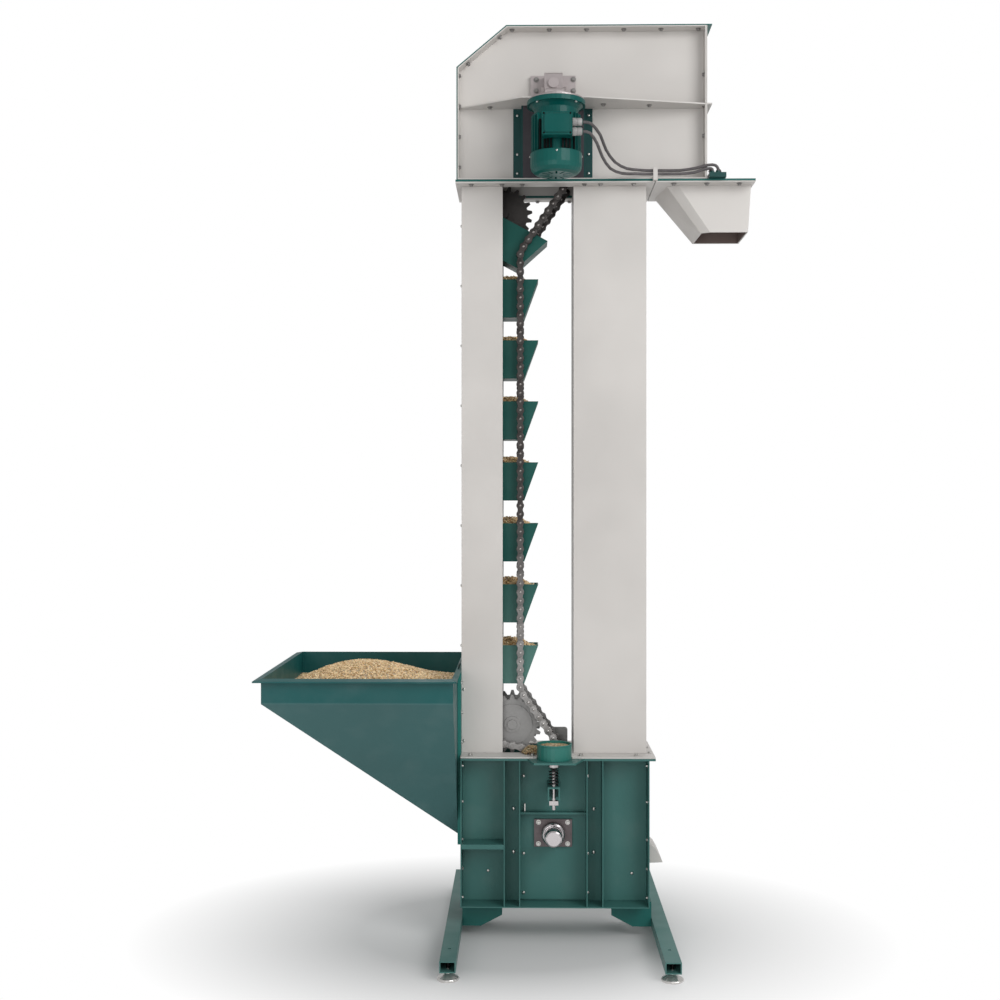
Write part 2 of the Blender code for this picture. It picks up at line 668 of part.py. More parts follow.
def guide(name, centre, phase, sides):
    """Toothed guide wheels on one shaft, held by an arm from the left leg; sides are -1 front, 1 back."""
    x, z = centre
    inner = BUCKET_HALF_LENGTH + 0.0015
    outer = CHAIN_CENTRE_Y - CHAIN_OUTER / 2 - 0.0005
    outline = sprocket_outline(centre, SPROCKET_TEETH, SPROCKET_TIP, phase)
    near = -outer - 0.012 if -1 in sides else inner - 0.022
    wheel = add(name, rod(0.014, near, outer + 0.012, (x, 0.0, z), "Y", 20), "steel")
    face = [(0.0, outer - 0.001), (SPROCKET_DISC, outer - 0.001), (SPROCKET_DISC, outer + 0.0035),
            (0.024, outer + 0.0035), (0.024, outer + 0.0065), (0.0, outer + 0.0065)]
    for side in sides:
        low, high = sorted((side * inner, side * outer))
        join(wheel,
             prism(outline, low, high),
             revolve([(radius, side * y) for radius, y in face], (x, 0.0, z), "Y", 36))
    arm = 0.016 if -1 in sides else inner - 0.006
    join(wheel, block(-HALF_WIDTH + SHEET + GAP, x, arm - 0.032, arm, z - 0.011, z + 0.011))


def bucket_shape(name, turn, place):
    """One bucket about its point on the chain: end walls, raked lip side, bosses to the chains."""
    top = 0.050
    low = top - BUCKET_HEIGHT
    t = BUCKET_SHEET
    outer = [(-0.099, top), (-0.094, low + 0.008), (-0.088, low), (0.012, low), (0.054, top)]
    inner = [(-0.099 + t, top + 0.01), (-0.094 + t, low + 0.008 + t), (-0.088 + t, low + t),
             (0.0105, low + t), (0.0508, top), (0.0508, top + 0.01)]
    half = BUCKET_HALF_LENGTH
    body = add(name, prism(outer, -half, half), "green")
    cut(body, prism(inner, -half + t, half - t))
    reach = CHAIN_CENTRE_Y - CHAIN_OUTER / 2 - GAP
    for z in (0.018, -0.034):
        for side in (-1, 1):
            near, far = sorted((side * (half - 0.001), side * reach))
            join(body, rod(0.007, near, far, (0.0, 0.0, z), "Y", 8))
    body.data.transform(Matrix.Translation(place) @ Matrix.Rotation(turn, 4, "Y"))
    return body


def buckets():
    """Seven upright buckets in the window and one that has begun to turn over the guide wheel."""
    spacing = LINKS_PER_BUCKET * CHAIN_PITCH
    for i in range(BUCKET_COUNT):
        z = TOP_BUCKET - 0.050 - spacing * i
        bucket_shape("bucket_{}".format(BUCKET_COUNT - i), 0.0, (RUN_X, 0.0, z))
    bucket_shape("bucket_{}".format(BUCKET_COUNT + 1), math.radians(28), (RUN_X + 0.0105, 0.0, RUN_TOP + 0.017))


def head_outline(inset):
    """Head side view with its cut corner, moved in by inset."""
    corner_x, corner_z = HEAD_CHAMFER
    slope = math.hypot(corner_x, corner_z)
    shift_x = inset * (slope - corner_x) / corner_z
    shift_z = inset * (slope - corner_z) / corner_x
    left, right, top = HEAD_LEFT + inset, HEAD_RIGHT - inset, HEAD_TOP - inset
    return [(left, HEAD_BASE + GAP), (right, HEAD_BASE + GAP), (right, top),
            (HEAD_LEFT + corner_x + shift_x, top), (left, HEAD_TOP - corner_z - shift_z)]


def head():
    """Drive head: two trays back to back, the wrap-round cover and the bolted joint shelf."""
    outline = head_outline(SHEET + GAP)
    window = head_outline(2 * SHEET + GAP)
    window[0] = (window[0][0], HEAD_BASE + GAP + SHEET)
    window[1] = (window[1][0], HEAD_BASE + GAP + SHEET)
    front = add("head_front_panel", prism(outline, HEAD_FRONT, -HALF_DEPTH + SHEET), "cream")
    cut(front, prism(window, HEAD_FRONT - 0.01, -HALF_DEPTH))
    back = add("head_back_panel", prism(outline, HALF_DEPTH - SHEET, BACK_EDGE), "cream")
    cut(back, prism(window, HALF_DEPTH, BACK_EDGE + 0.01))
    join(back, block(HEAD_LEFT + 2 * SHEET, HEAD_RIGHT - 2 * SHEET, HALF_DEPTH - 0.001, BACK_EDGE,
                     SHELF_LEVEL, SHELF_LEVEL + LEG_FLANGE))
    outer = head_outline(0.0)
    inner = head_outline(SHEET)
    tip = HEAD_RIGHT + HEAD_LIP
    strip = [outer[0], inner[0], inner[4], inner[3], (tip, HEAD_TOP - SHEET), (tip, HEAD_TOP), outer[3], outer[4]]
    add("head_cover", prism(strip, HEAD_FRONT, BACK_EDGE), "green")
    top = HEAD_TOP - SHEET - GAP
    wall = [(HEAD_RIGHT - SHEET, HEAD_BASE + GAP), (HEAD_RIGHT, HEAD_BASE + GAP), (HEAD_RIGHT, SHELF_LEVEL),
            (tip, SHELF_LEVEL), (tip, SHELF_LEVEL + LEG_FLANGE), (HEAD_RIGHT, SHELF_LEVEL + LEG_FLANGE),
            (HEAD_RIGHT, top), (HEAD_RIGHT - SHEET, top)]
    add("head_right_wall", prism(wall, HEAD_FRONT, BACK_EDGE), "cream")
    shelves()
    base_plates()


def shelves():
    """Joint shelf on the front, deepest under the gearbox."""
    face = -HALF_DEPTH - GAP
    left = HEAD_LEFT + 2 * SHEET + 2 * GAP
    right = HEAD_RIGHT - 2 * SHEET - 2 * GAP
    z0, z1 = SHELF_LEVEL, SHELF_LEVEL + LEG_FLANGE
    outline = [(left, face), (left, face - 0.010), (-0.097, -0.205), (0.089, -0.205), (right, HEAD_FRONT),
               (right, face)]
    add("motor_shelf", prism(outline, z0, z1, "Z"), "cream")


def base_plates():
    """Green plate under the head and the light flange on top of the legs."""
    left = HEAD_LEFT - 0.003
    z0 = LEG_TOP + GAP
    flange = add("leg_top_flange", block(left, HALF_WIDTH + PLATE_OVERHANG, HEAD_FRONT, BACK_EDGE,
                                         z0, z0 + LEG_FLANGE), "cream")
    shaft_way = (-HALF_WIDTH + JOINT_WAY, HALF_WIDTH - JOINT_WAY, -0.080, 0.080)
    cut(flange, block(*shaft_way, z0 - 0.01, z0 + 0.02))
    z1 = z0 + LEG_FLANGE + GAP
    plate = add("head_base_plate", block(left, SPOUT_END, HEAD_FRONT, BACK_EDGE, z1, z1 + PLATE), "green")
    cut(plate,
        block(*shaft_way, z1 - 0.01, z1 + 0.02),
        block(SPOUT_START + 0.032, HEAD_RIGHT - 0.012, -0.080, 0.080, z1 - 0.01, z1 + 0.02))


def spout():
    """Outlet under the head: raked left wall with a bevelled front corner, open below."""
    z1 = LEG_TOP + GAP + LEG_FLANGE - SHEET
    z0 = z1 - 0.139
    d = HALF_DEPTH - 0.002
    left, right = SPOUT_START, SPOUT_END - 0.006
    top = [(left, d), (left + 0.022, -0.070), (left + 0.053, -d), (right, -d), (right, d)]
    bottom = [(left + 0.117, d), (left + 0.121, -0.072), (left + 0.147, -d), (right - 0.009, -d), (right - 0.009, d)]
    start = HALF_WIDTH + PLATE_OVERHANG + 0.0022
    flange = [(start, BACK_EDGE), (start, -0.075), (start, HEAD_FRONT), (SPOUT_END, HEAD_FRONT),
              (SPOUT_END, BACK_EDGE)]
    add("discharge_spout", loft([
        (flange, z1 + SHEET), (flange, z1), (top, z1), (bottom, z0),
        (inset(bottom, SHEET), z0), (inset(top, SHEET), z1 + SHEET)]), "cream")


def drive():
    """Gearmotor on the head: right-angle gearbox, motor, fan cowl, terminal box and its bracket."""
    gearbox()
    motor()
    fan_cowl()
    terminal_box()
    bracket()


def motor():
    """Round flange, smooth neck and the finned body."""
    x, y, z = MOTOR_X, MOTOR_Y, MOTOR_TOP
    flange = z - 0.0137
    low = COWL_BOTTOM + 0.059
    profile = [(0.0, low), (MOTOR_BODY_RADIUS, low), (MOTOR_BODY_RADIUS, flange - 0.012),
               (0.070, flange - 0.004), (0.076, flange), (MOTOR_FLANGE_RADIUS, flange),
               (MOTOR_FLANGE_RADIUS, z), (0.0, z)]
    body = add("motor_body", revolve(profile, (x, y, 0.0), segments=40), "motor")
    fins = []
    for i in range(9):
        for side in (-1, 1):
            angle = math.radians(-40 + 10 * i) if side > 0 else math.radians(140 + 10 * i)
            fin = block(0.058, 0.0705, -0.0014, 0.0014, low, flange - 0.028)
            fin.transform(Matrix.Translation((x, y, 0.0)) @ Matrix.Rotation(angle, 4, "Z"))
            fins.append(fin)
    join(body, *fins)


def fan_cowl():
    """Drawn cap over the fan, with its ring of slots below."""
    x, y, z = MOTOR_X, MOTOR_Y, COWL_BOTTOM
    profile = [(0.0, z), (0.050, z), (0.062, z + 0.004), (0.0705, z + 0.013), (COWL_RADIUS, z + 0.025),
               (COWL_RADIUS, z + 0.0585), (0.0715, z + 0.0585), (0.0715, z + 0.026), (0.0, z + 0.026)]
    cowl = add("fan_cowl", revolve(profile, (x, y, 0.0), segments=36), "motor", smooth=True)
    grille = []
    for i in range(12):
        slot = block(0.020, 0.046, -0.0025, 0.0025, z - 0.01, z + 0.04)
        slot.transform(Matrix.Translation((x, y, 0.0)) @ Matrix.Rotation(2 * math.pi * i / 12, 4, "Z"))
        grille.append(slot)
    cut(cowl, *grille)


def gearbox():
    """Bevel gearbox: wall plate, housing with its end boss, and the neck that reaches out to the motor."""
    x, z = SHAFT_X, HEAD_SHAFT
    face = -HALF_DEPTH - GAP
    level = MOTOR_TOP + GAP
    shelf_top = SHELF_LEVEL + LEG_FLANGE + GAP
    reach = MOTOR_Y - 0.030
    box = add("gearbox", block(x - 0.066, x + 0.066, face - 0.012, face, shelf_top + 0.012, z + 0.040), "steel")
    body = [(face - 0.006, shelf_top), (face - 0.006, z + 0.034), (-0.143, z + 0.036), (-0.152, z + 0.030),
            (-0.158, shelf_top + 0.036), (-0.2055, shelf_top + 0.022), (reach, level + 0.026), (reach, level + 0.0022),
            (-0.2055, level + 0.0022), (-0.2055, shelf_top)]
    cheek = [(face - 0.007, shelf_top + 0.001), (face - 0.007, z + 0.004), (-0.145, z - 0.006),
             (-0.2010, shelf_top + 0.012), (-0.2010, shelf_top + 0.001)]
    join(box,
         prism(body, x - 0.0268, x + 0.0268, "X"),
         prism(cheek, x - 0.036, x + 0.036, "X"),
         rod(0.058, level + 0.003, level + 0.0075, (MOTOR_X, MOTOR_Y, 0.0), segments=40),
         rod(0.044, level + 0.005, level + 0.018, (MOTOR_X, MOTOR_Y, 0.0), segments=32),
         rod(0.080, level, level + 0.0045, (MOTOR_X, MOTOR_Y, 0.0), segments=36),
         rod(0.0155, -0.163, -0.14, (x, 0.0, z + 0.002), "Y", 24))


def terminal_box():
    x = MOTOR_X
    front = MOTOR_Y - 0.110
    body = add("terminal_box", block(x - 0.0395, x + 0.0400, front + 0.010, MOTOR_Y - 0.040, 2.3000, 2.3610), "motor")
    join(body,
         block(x - 0.0415, x + 0.0420, front, front + 0.0105, 2.2985, 2.3625))
    cut(body, rod(0.0712, 2.2, 2.5, (x, MOTOR_Y, 0.0), segments=48))
    gland = [(0.0, 0.036), (0.0100, 0.036), (0.0100, 0.058), (0.0078, 0.058), (0.0078, 0.0715), (0.0, 0.0715)]
    for z in (2.3395, 2.3135):
        join(body, revolve(gland, (x, front + 0.027, z), "X", 14))


def bracket():
    """Hat-shaped bracket behind the motor."""
    face = -HALF_DEPTH - GAP
    t = 0.004
    low, high = HEAD_BASE + SHEET + 2 * GAP, SHELF_LEVEL - GAP
    x0, x1, x2, x3 = -0.1217, -0.0975, 0.0895, 0.1127
    front = face - 0.038
    outline = [(x0, face), (x0, face - t), (x1, face - t), (x1, front), (x2, front), (x2, face - t),
               (x3, face - t), (x3, face), (x2 - t, face), (x2 - t, front + t), (x1 + t, front + t),
               (x1 + t, face)]
    add("motor_bracket", prism(outline, low, high, "Z"), "green")


def cable_route(points):
    """Round the corners of a hand-laid route."""
    spots = [Vector(p) for p in points]
    spots = [spots[0] * 2 - spots[1]] + spots + [spots[-1] * 2 - spots[-2]]
    route = []
    for a, b, c, d in zip(spots, spots[1:], spots[2:], spots[3:]):
        for i in range(2):
            t = i / 2
            route.append(0.5 * ((2 * b) + (c - a) * t + (2 * a - 5 * b + 4 * c - d) * t * t +
                                (3 * b - a - 3 * c + d) * t ** 3))
    route.append(spots[-2])
    return route


def wiring():
    """Two cables from the terminal box to the level sensor, held by one clip."""
    start = MOTOR_X + 0.0715 + GAP
    y0 = MOTOR_Y - 0.083
    line = HEAD_FRONT - CABLE_RADIUS - 0.001
    high, low = 2.2560, 2.2460
    upper = [(start, y0, 2.3395), (0.096, y0 + 0.004, 2.3365), (0.124, -0.300, 2.316), (0.142, -0.260, 2.286),
             (0.171, -0.210, 2.263), (0.208, -0.170, 2.2545), (0.240, -0.150, 2.2555), (0.268, line, high),
             (0.284, line, high), (0.306, line, high), (0.366, line, high), (0.413, line, 2.263),
             (0.448, line, 2.2715), (0.468, line, 2.271), (0.4760, line, 2.262), (0.4765, line, 2.2545)]
    lower = [(start, y0, 2.3135), (0.093, y0 + 0.004, 2.3105), (0.115, -0.300, 2.292), (0.132, -0.260, 2.265),
             (0.158, -0.210, 2.2445), (0.194, -0.170, 2.2405), (0.236, -0.150, 2.2440), (0.268, line, low),
             (0.284, line, low), (0.306, line, low), (0.366, line, low), (0.408, line, 2.2500),
             (0.434, line, 2.2590), (0.453, line, 2.2615), (0.4595, line, 2.2590), (0.4600, line, 2.2545)]
    tube("cable_upper", cable_route(upper), CABLE_RADIUS, "grey")
    tube("cable_lower", cable_route(lower), CABLE_RADIUS, "grey")
    level = HEAD_BASE + GAP
    clip = add("cable_clip", block(0.287, 0.300, line - 0.008, HEAD_FRONT - GAP, level - 0.007, high + 0.0085), "cream")
    ledge = level + SHEET + GAP
    join(clip, block(0.287, 0.300, HEAD_FRONT - 0.002, HEAD_FRONT + 0.016, ledge, ledge + 0.003))
    cut(clip, *[rod(CABLE_RADIUS + GAP, 0.25, 0.35, (0.0, line, z), "X", 12) for z in (high, low)])
    sensor = add("level_sensor", block(0.450, 0.499, line - 0.013, HEAD_FRONT + 0.030, level, 2.2480), "motor")
    join(sensor, *[rod(0.0062, 2.24, 2.2545 - GAP, (x, line, 0.0), "Z", 12) for x in (0.4600, 0.4765)])


def place_on_origin():
    """Shift everything so that the middle of the footprint stands over the origin."""
    corners = []
    items = list(bpy.data.objects)
    for item in items:
        corners += [vertex.co for vertex in item.data.vertices]
    root = bpy.data.objects.new("bucket_elevator", None)
    bpy.context.collection.objects.link(root)
    low = [min(c[i] for c in corners) for i in range(3)]
    high = [max(c[i] for c in corners) for i in range(3)]
    root.location = (-(low[0] + high[0]) / 2, -(low[1] + high[1]) / 2, -low[2])
    for item in items:
        item.parent = root


def main():
    clear_scene()
    base_frame()
    gussets()
    boot()
    take_up()
    cup()
    hopper()
    legs()
    chains()
    guide("lower_guide", LOWER_GUIDE, 0.0, (-1, 1))
    guide("upper_guide", UPPER_GUIDE, 0.1, (1,))
    buckets()
    head()
    spout()
    drive()
    wiring()
    place_on_origin()


main()
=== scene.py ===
"""Looks of the bucket elevator: finishes, fasteners, roller chains, grain, studio and camera.

Places are given from the tower's own axis, in metres, as the maker would dimension them:
x towards the spout, y away from the motor side, z from the floor. at() moves them into the row frame.
"""

import json
import math
import random

import bmesh
import bpy
from mathutils import Matrix, Vector, noise

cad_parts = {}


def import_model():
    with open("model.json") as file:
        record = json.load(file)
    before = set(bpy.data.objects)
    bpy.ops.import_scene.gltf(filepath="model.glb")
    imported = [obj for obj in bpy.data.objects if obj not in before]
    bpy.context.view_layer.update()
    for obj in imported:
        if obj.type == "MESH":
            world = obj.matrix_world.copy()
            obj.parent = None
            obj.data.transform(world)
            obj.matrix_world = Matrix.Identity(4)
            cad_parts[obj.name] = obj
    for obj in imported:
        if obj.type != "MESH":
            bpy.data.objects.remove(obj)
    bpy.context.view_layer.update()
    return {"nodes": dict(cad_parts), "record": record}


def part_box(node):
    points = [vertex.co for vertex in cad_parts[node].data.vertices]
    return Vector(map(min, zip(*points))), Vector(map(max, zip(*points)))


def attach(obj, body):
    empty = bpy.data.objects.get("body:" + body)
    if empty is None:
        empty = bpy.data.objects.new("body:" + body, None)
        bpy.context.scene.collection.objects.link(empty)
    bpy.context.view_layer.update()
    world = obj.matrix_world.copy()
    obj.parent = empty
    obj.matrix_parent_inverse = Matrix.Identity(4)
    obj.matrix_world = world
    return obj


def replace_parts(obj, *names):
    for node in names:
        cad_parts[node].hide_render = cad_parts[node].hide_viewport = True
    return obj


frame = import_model()
random.seed(7)

BOOT_LEFT, BOOT_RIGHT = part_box("boot_left_wall"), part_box("boot_right_wall")
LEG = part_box("right_leg")
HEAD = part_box("head_cover")
FLANGE_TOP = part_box("leg_base_flange")[1].z
AXIS_X = (BOOT_LEFT[0].x + BOOT_RIGHT[1].x) / 2
AXIS_Y = (LEG[0].y + LEG[1].y) / 2
SHEET = 0.003  # thickness of the casing's sheet

# Upright planes across the machine, from the axis
FRONT = LEG[0].y - AXIS_Y
BACK = LEG[1].y - AXIS_Y
PANEL_FACE = FRONT - 0.0003  # just clear of the panel's own surface
BOOT_FRONT = BOOT_LEFT[0].y - AXIS_Y
HEAD_FRONT = HEAD[0].y - AXIS_Y
BACK_BOLTS = BOOT_LEFT[1].y - AXIS_Y - 0.014  # bolt line of the rims at the back

# Directions
LEFTWARD, RIGHTWARD = (-1, 0, 0), (1, 0, 0)
FORWARD, BACKWARD = (0, -1, 0), (0, 1, 0)
DOWN, UP = (0, 0, -1), (0, 0, 1)

# Roller chain, as in the CAD model
PITCH = 0.0261
CHAIN_Y = 0.066
RUN_X, RUN_BOTTOM, RUN_TOP = -0.101, 0.727, 2.034
BEND_X, BEND_ANGLE = 0.040, math.radians(34.5)
RISE = (BEND_X - RUN_X) / math.tan(BEND_ANGLE)
SLANT = math.hypot(BEND_X - RUN_X, RISE)
UPRIGHT = RUN_TOP - RUN_BOTTOM
RUN_LENGTH = 2 * SLANT + RUN_TOP - RUN_BOTTOM
OUTER, INNER = 0.0092, 0.0058  # from a strand's middle to its outer and inner plates
PLATE, PLATE_EDGE = 0.003, 0.0006  # thickness of a link plate and width of its soft edge


def at(x, y, z):
    """Point in the row frame for a place given from the tower's axis."""
    return Vector((x + AXIS_X, y + AXIS_Y, z))


# Materials


class Nodes:
    """Short hand for building a node tree."""

    def __init__(self, name):
        self.material = bpy.data.materials.new(name)
        self.material.use_nodes = True
        self.tree = self.material.node_tree
        self.shader = self.tree.nodes["Principled BSDF"]
        self.coords = self.tree.nodes.new("ShaderNodeTexCoord").outputs["Object"]

    def add(self, kind, **settings):
        """A new node; each setting is the value of an input or else a property."""
        node = self.tree.nodes.new(kind)
        for key, value in settings.items():
            if key in node.inputs:
                node.inputs[key].default_value = value
            else:
                setattr(node, key, value)
        return node

    def link(self, out, into):
        self.tree.links.new(out, into)

    def noise(self, scale, detail=3.0, stretch=None):
        """Fine or coarse noise in object space; stretch scales it along each axis."""
        source = self.coords
        if stretch:
            mapping = self.add("ShaderNodeMapping")
            mapping.inputs["Scale"].default_value = stretch
            self.link(source, mapping.inputs["Vector"])
            source = mapping.outputs["Vector"]
        node = self.add("ShaderNodeTexNoise", Scale=scale, Detail=detail)
        self.link(source, node.inputs["Vector"])
        return node.outputs["Fac"]

    def ramp(self, source, low, high, start=0.0, end=1.0):
        """A value that goes from start to end while source goes from low to high."""
        node = self.add("ShaderNodeMapRange")
        node.inputs["From Min"].default_value = low
        node.inputs["From Max"].default_value = high
        node.inputs["To Min"].default_value = start
        node.inputs["To Max"].default_value = end
        self.link(source, node.inputs["Value"])
        return node.outputs["Result"]

    def blend(self, factor, one, two):
        """Mix of two colours, each a tuple or an output."""
        node = self.add("ShaderNodeMix", data_type="RGBA")
        self.link(factor, node.inputs["Factor"])
        for value, socket in ((one, node.inputs[6]), (two, node.inputs[7])):
            if isinstance(value, tuple):
                socket.default_value = (*value, 1.0)
            else:
                self.link(value, socket)
        return node.outputs[2]

    def bump(self, layers, edge=0.0012):
        """Rounded edges, then height layers of (source, strength, distance)."""
        bevel = self.add("ShaderNodeBevel", Radius=edge)
        bevel.samples = 4
        normal = bevel.outputs["Normal"]
        for source, strength, distance in layers:
            node = self.add("ShaderNodeBump", Strength=strength, Distance=distance)
            self.link(source, node.inputs["Height"])
            self.link(normal, node.inputs["Normal"])
            normal = node.outputs["Normal"]
        self.link(normal, self.shader.inputs["Normal"])


def tint(colour, share):
    """The colour made darker or lighter."""
    return tuple(max(0.0, c * share) for c in colour)


def by_height(n, low, high, start, end):
    """A share that goes from start at height low to end at height high."""
    parts = n.add("ShaderNodeSeparateXYZ")
    n.link(n.coords, parts.inputs[0])
    return n.ramp(parts.outputs["Z"], low, high, start, end)


FLOUR = (0.50, 0.49, 0.46)


def paint(name, colour, roughness=0.38, gloss=0.5, dust=0.10, pale_below=None, veil=FLOUR):
    """Sprayed machine paint: orange peel, slow shade drift, faint dust and rubbed spots.

    pale_below is (low, high, share): a paler veil that thins out between two heights; on the tubes and
    the hopper it is painted light, on the buckets it makes the lower ones paler. veil is the colour of
    the dust and of this paling."""
    n = Nodes(name)
    drift = n.ramp(n.noise(3.0, 2.0), 0.35, 0.65)
    shade = n.blend(drift, tint(colour, 0.94), tint(colour, 1.06))
    film = n.ramp(n.noise(11.0, 7.0), 0.50, 0.85, 0.0, dust)
    # Painted light where the tubes and the hopper use it: a paler veil below a height.
    if pale_below:
        low, high, share = pale_below
        dust_plus_paling = n.add("ShaderNodeMath", operation="ADD")
        n.link(film, dust_plus_paling.inputs[0])
        n.link(by_height(n, low, high, share, 0.0), dust_plus_paling.inputs[1])
        film = dust_plus_paling.outputs[0]
    n.link(n.blend(film, shade, veil), n.shader.inputs["Base Color"])
    rubbed = n.ramp(n.noise(14.0, 4.0), 0.3, 0.7, roughness - 0.05, roughness + 0.09)
    n.link(rubbed, n.shader.inputs["Roughness"])
    n.shader.inputs["Specular IOR Level"].default_value = gloss
    orange_peel, waves = n.noise(420.0, 2.0), n.noise(9.0, 2.0)
    n.bump([(orange_peel, 0.08, 0.0004), (waves, 0.05, 0.002)])
    return n.material


def metal(name, colour, roughness, stretch=None, grime=0.25, metallic=1.0, pale=None):
    """Bare steel: brushing or turning marks, oil film in patches.

    pale is (low, high, colour): the paler colour it takes on towards the lower height; on the chain and
    its rivets this is dust."""
    n = Nodes(name)
    patch = n.ramp(n.noise(38.0, 5.0), 0.45, 0.75, 0.0, grime)
    shade = n.blend(patch, colour, tint(colour, 0.35))
    if pale:
        low, high, dusty = pale
        shade = n.blend(by_height(n, low, high, 1.0, 0.0), shade, dusty)
    n.link(shade, n.shader.inputs["Base Color"])
    n.shader.inputs["Metallic"].default_value = metallic
    marks = n.noise(160.0, 3.0, stretch)
    n.link(n.ramp(marks, 0.3, 0.7, roughness - 0.07, roughness + 0.12), n.shader.inputs["Roughness"])
    n.bump([(marks, 0.10, 0.0003)], 0.0006)
    return n.material


def rubber(name, colour, gloss=0.5):
    """Moulded rubber or plastic with a fine grain."""
    n = Nodes(name)
    n.shader.inputs["Specular IOR Level"].default_value = gloss
    shade = n.blend(n.ramp(n.noise(60.0, 4.0), 0.4, 0.7), colour, tint(colour, 1.5))
    n.link(shade, n.shader.inputs["Base Color"])
    n.link(n.ramp(n.noise(90.0, 3.0), 0.3, 0.7, 0.42, 0.60), n.shader.inputs["Roughness"])
    n.bump([(n.noise(600.0, 2.0), 0.15, 0.0003)], 0.0008)
    return n.material


HUSK_DARK = (0.50, 0.30, 0.125)
HUSK_PALE = (1.05, 0.80, 0.48)
HUSK_CREASE = (0.24, 0.12, 0.045)


def grain_finish(name, share=1.0):
    """Husked cereal: each kernel its own shade by place, a dark crease and a soft sheen.

    share below 1 darkens every shade, for grain that lies in shadow."""
    n = Nodes(name)
    cell = n.add("ShaderNodeTexVoronoi", Scale=170.0)
    n.link(n.coords, cell.inputs["Vector"])
    hue = n.add("ShaderNodeSeparateColor")
    n.link(cell.outputs["Color"], hue.inputs["Color"])
    husk = n.blend(hue.outputs[0], tint(HUSK_DARK, share), tint(HUSK_PALE, share))
    crease = n.ramp(n.noise(40.0, 4.0), 0.58, 0.85, 0.0, 0.4)
    n.link(n.blend(crease, husk, tint(HUSK_CREASE, share)), n.shader.inputs["Base Color"])
    n.shader.inputs["Roughness"].default_value = 0.55
    n.shader.inputs["Subsurface Weight"].default_value = 0.08
    n.bump([(n.noise(900.0, 2.0), 0.25, 0.0004)], 0.0004)
    return n.material


GREEN = (0.012, 0.108, 0.096)
BOOT_GREEN = (0.043, 0.145, 0.132)
MOTOR_GREEN = (0.001, 0.080, 0.071)
CREAM = (0.600, 0.575, 0.550)
COARSE = (0.2, 0.2, 0.2)  # stretch for marks without a direction on small turned parts

TUBE_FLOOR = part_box("base_tube_left")[0].z + 0.002
# Painted light: the tubes lie wholly below 0.20 m, so they take the paler green veil all over, in place
# of their tops lit from above.
TUBE_LOOK = {"colour": (0.010, 0.100, 0.090), "roughness": 0.38, "gloss": 0.25, "dust": 0.08,
             "pale_below": (0.20, 0.30, 0.16), "veil": (0.36, 0.55, 0.51)}

FINISH = {
    "green_paint": paint("green_machine_paint", GREEN, 0.40, gloss=0.28, dust=0.04),
    "cream_paint": paint("cream_machine_paint", CREAM, 0.46, gloss=0.4, dust=0.04),
    "motor_paint": paint("motor_paint", MOTOR_GREEN, 0.30, gloss=0.20, dust=0.02),
    "bare_steel": metal("machined_steel", (0.50, 0.47, 0.47), 0.34, stretch=(1.0, 12.0, 1.0)),
    "chain_steel": metal("oiled_chain_steel", (0.045, 0.039, 0.037), 0.44, grime=0.5, metallic=0.55,
                         pale=(0.72, 1.24, (0.285, 0.275, 0.268))),
    "foot_steel": metal("stainless_foot", (0.010, 0.010, 0.010), 0.26, stretch=COARSE, grime=0.05,
                        metallic=0.85, pale=(TUBE_FLOOR, TUBE_FLOOR + 0.004, (0.72, 0.70, 0.68))),
    "cable_jacket": rubber("cable_jacket", (0.075, 0.068, 0.070)),
    "spring_steel": metal("blackened_spring", (0.018, 0.018, 0.019), 0.34, grime=0.2, metallic=0.6),
}
ZINC = metal("zinc_fastener", (0.56, 0.55, 0.53), 0.30, grime=0.35)
# Painted highlight: the rivet heads are lighter than the plates so that they show as small bright points;
# lower down they take the paler dust colour, as the chain does.
RIVET = metal("rivet_head_highlight", (0.20, 0.185, 0.178), 0.26, grime=0.1,
              pale=(0.72, 1.26, (0.42, 0.40, 0.39)))
DARK_ZINC = metal("dark_fastener", (0.27, 0.262, 0.255), 0.34, grime=0.25, metallic=0.8)
GRAIN = grain_finish("husked_grain")
# Painted shade: a darker copy of the grain, for the skins between the kernels and for the grain down in
# the cup.
SHADED_GRAIN = grain_finish("grain_in_shade", share=0.55)
GUARD_PAINT = paint("grey_guard_paint", (0.48, 0.48, 0.47), 0.45, gloss=0.3, dust=0.1)
# Painted shade: black for the gaps between the motor's fins and for the holes of the lid's screws.
GAP_SHADE = rubber("painted_gap_shade", (0.003, 0.004, 0.004), gloss=0.08)
GREY_PLASTIC = rubber("grey_gland", (0.27, 0.265, 0.26))
# Painted shade: the dark sheet behind the motor.
SHADE_PLATE = paint("painted_shade_sheet", (0.050, 0.045, 0.053), 0.45, gloss=0.2, dust=0.05)
LID_PAINT = paint("lid_paint", (0.001, 0.078, 0.069), 0.30, gloss=0.2, dust=0.02)
# Painted shade and painted reflection of the grain: the dark brown inside of the outlet.
SPOUT_SHADE = paint("spout_shade_and_reflection", (0.20, 0.15, 0.135), 0.5, gloss=0.2, dust=0.10)
# The buckets are paler, in a lighter green, towards the bottom: fully below 0.68 m and not at all above
# 1.08 m.
BUCKET_PAINT = paint("bucket_paint", (0.004, 0.078, 0.064), 0.42, gloss=0.20, dust=0.04,
                     pale_below=(0.68, 1.08, 0.40), veil=(0.28, 0.50, 0.44))
BOOT_PAINT = paint("boot_paint", BOOT_GREEN, 0.42, gloss=0.3, dust=0.05)
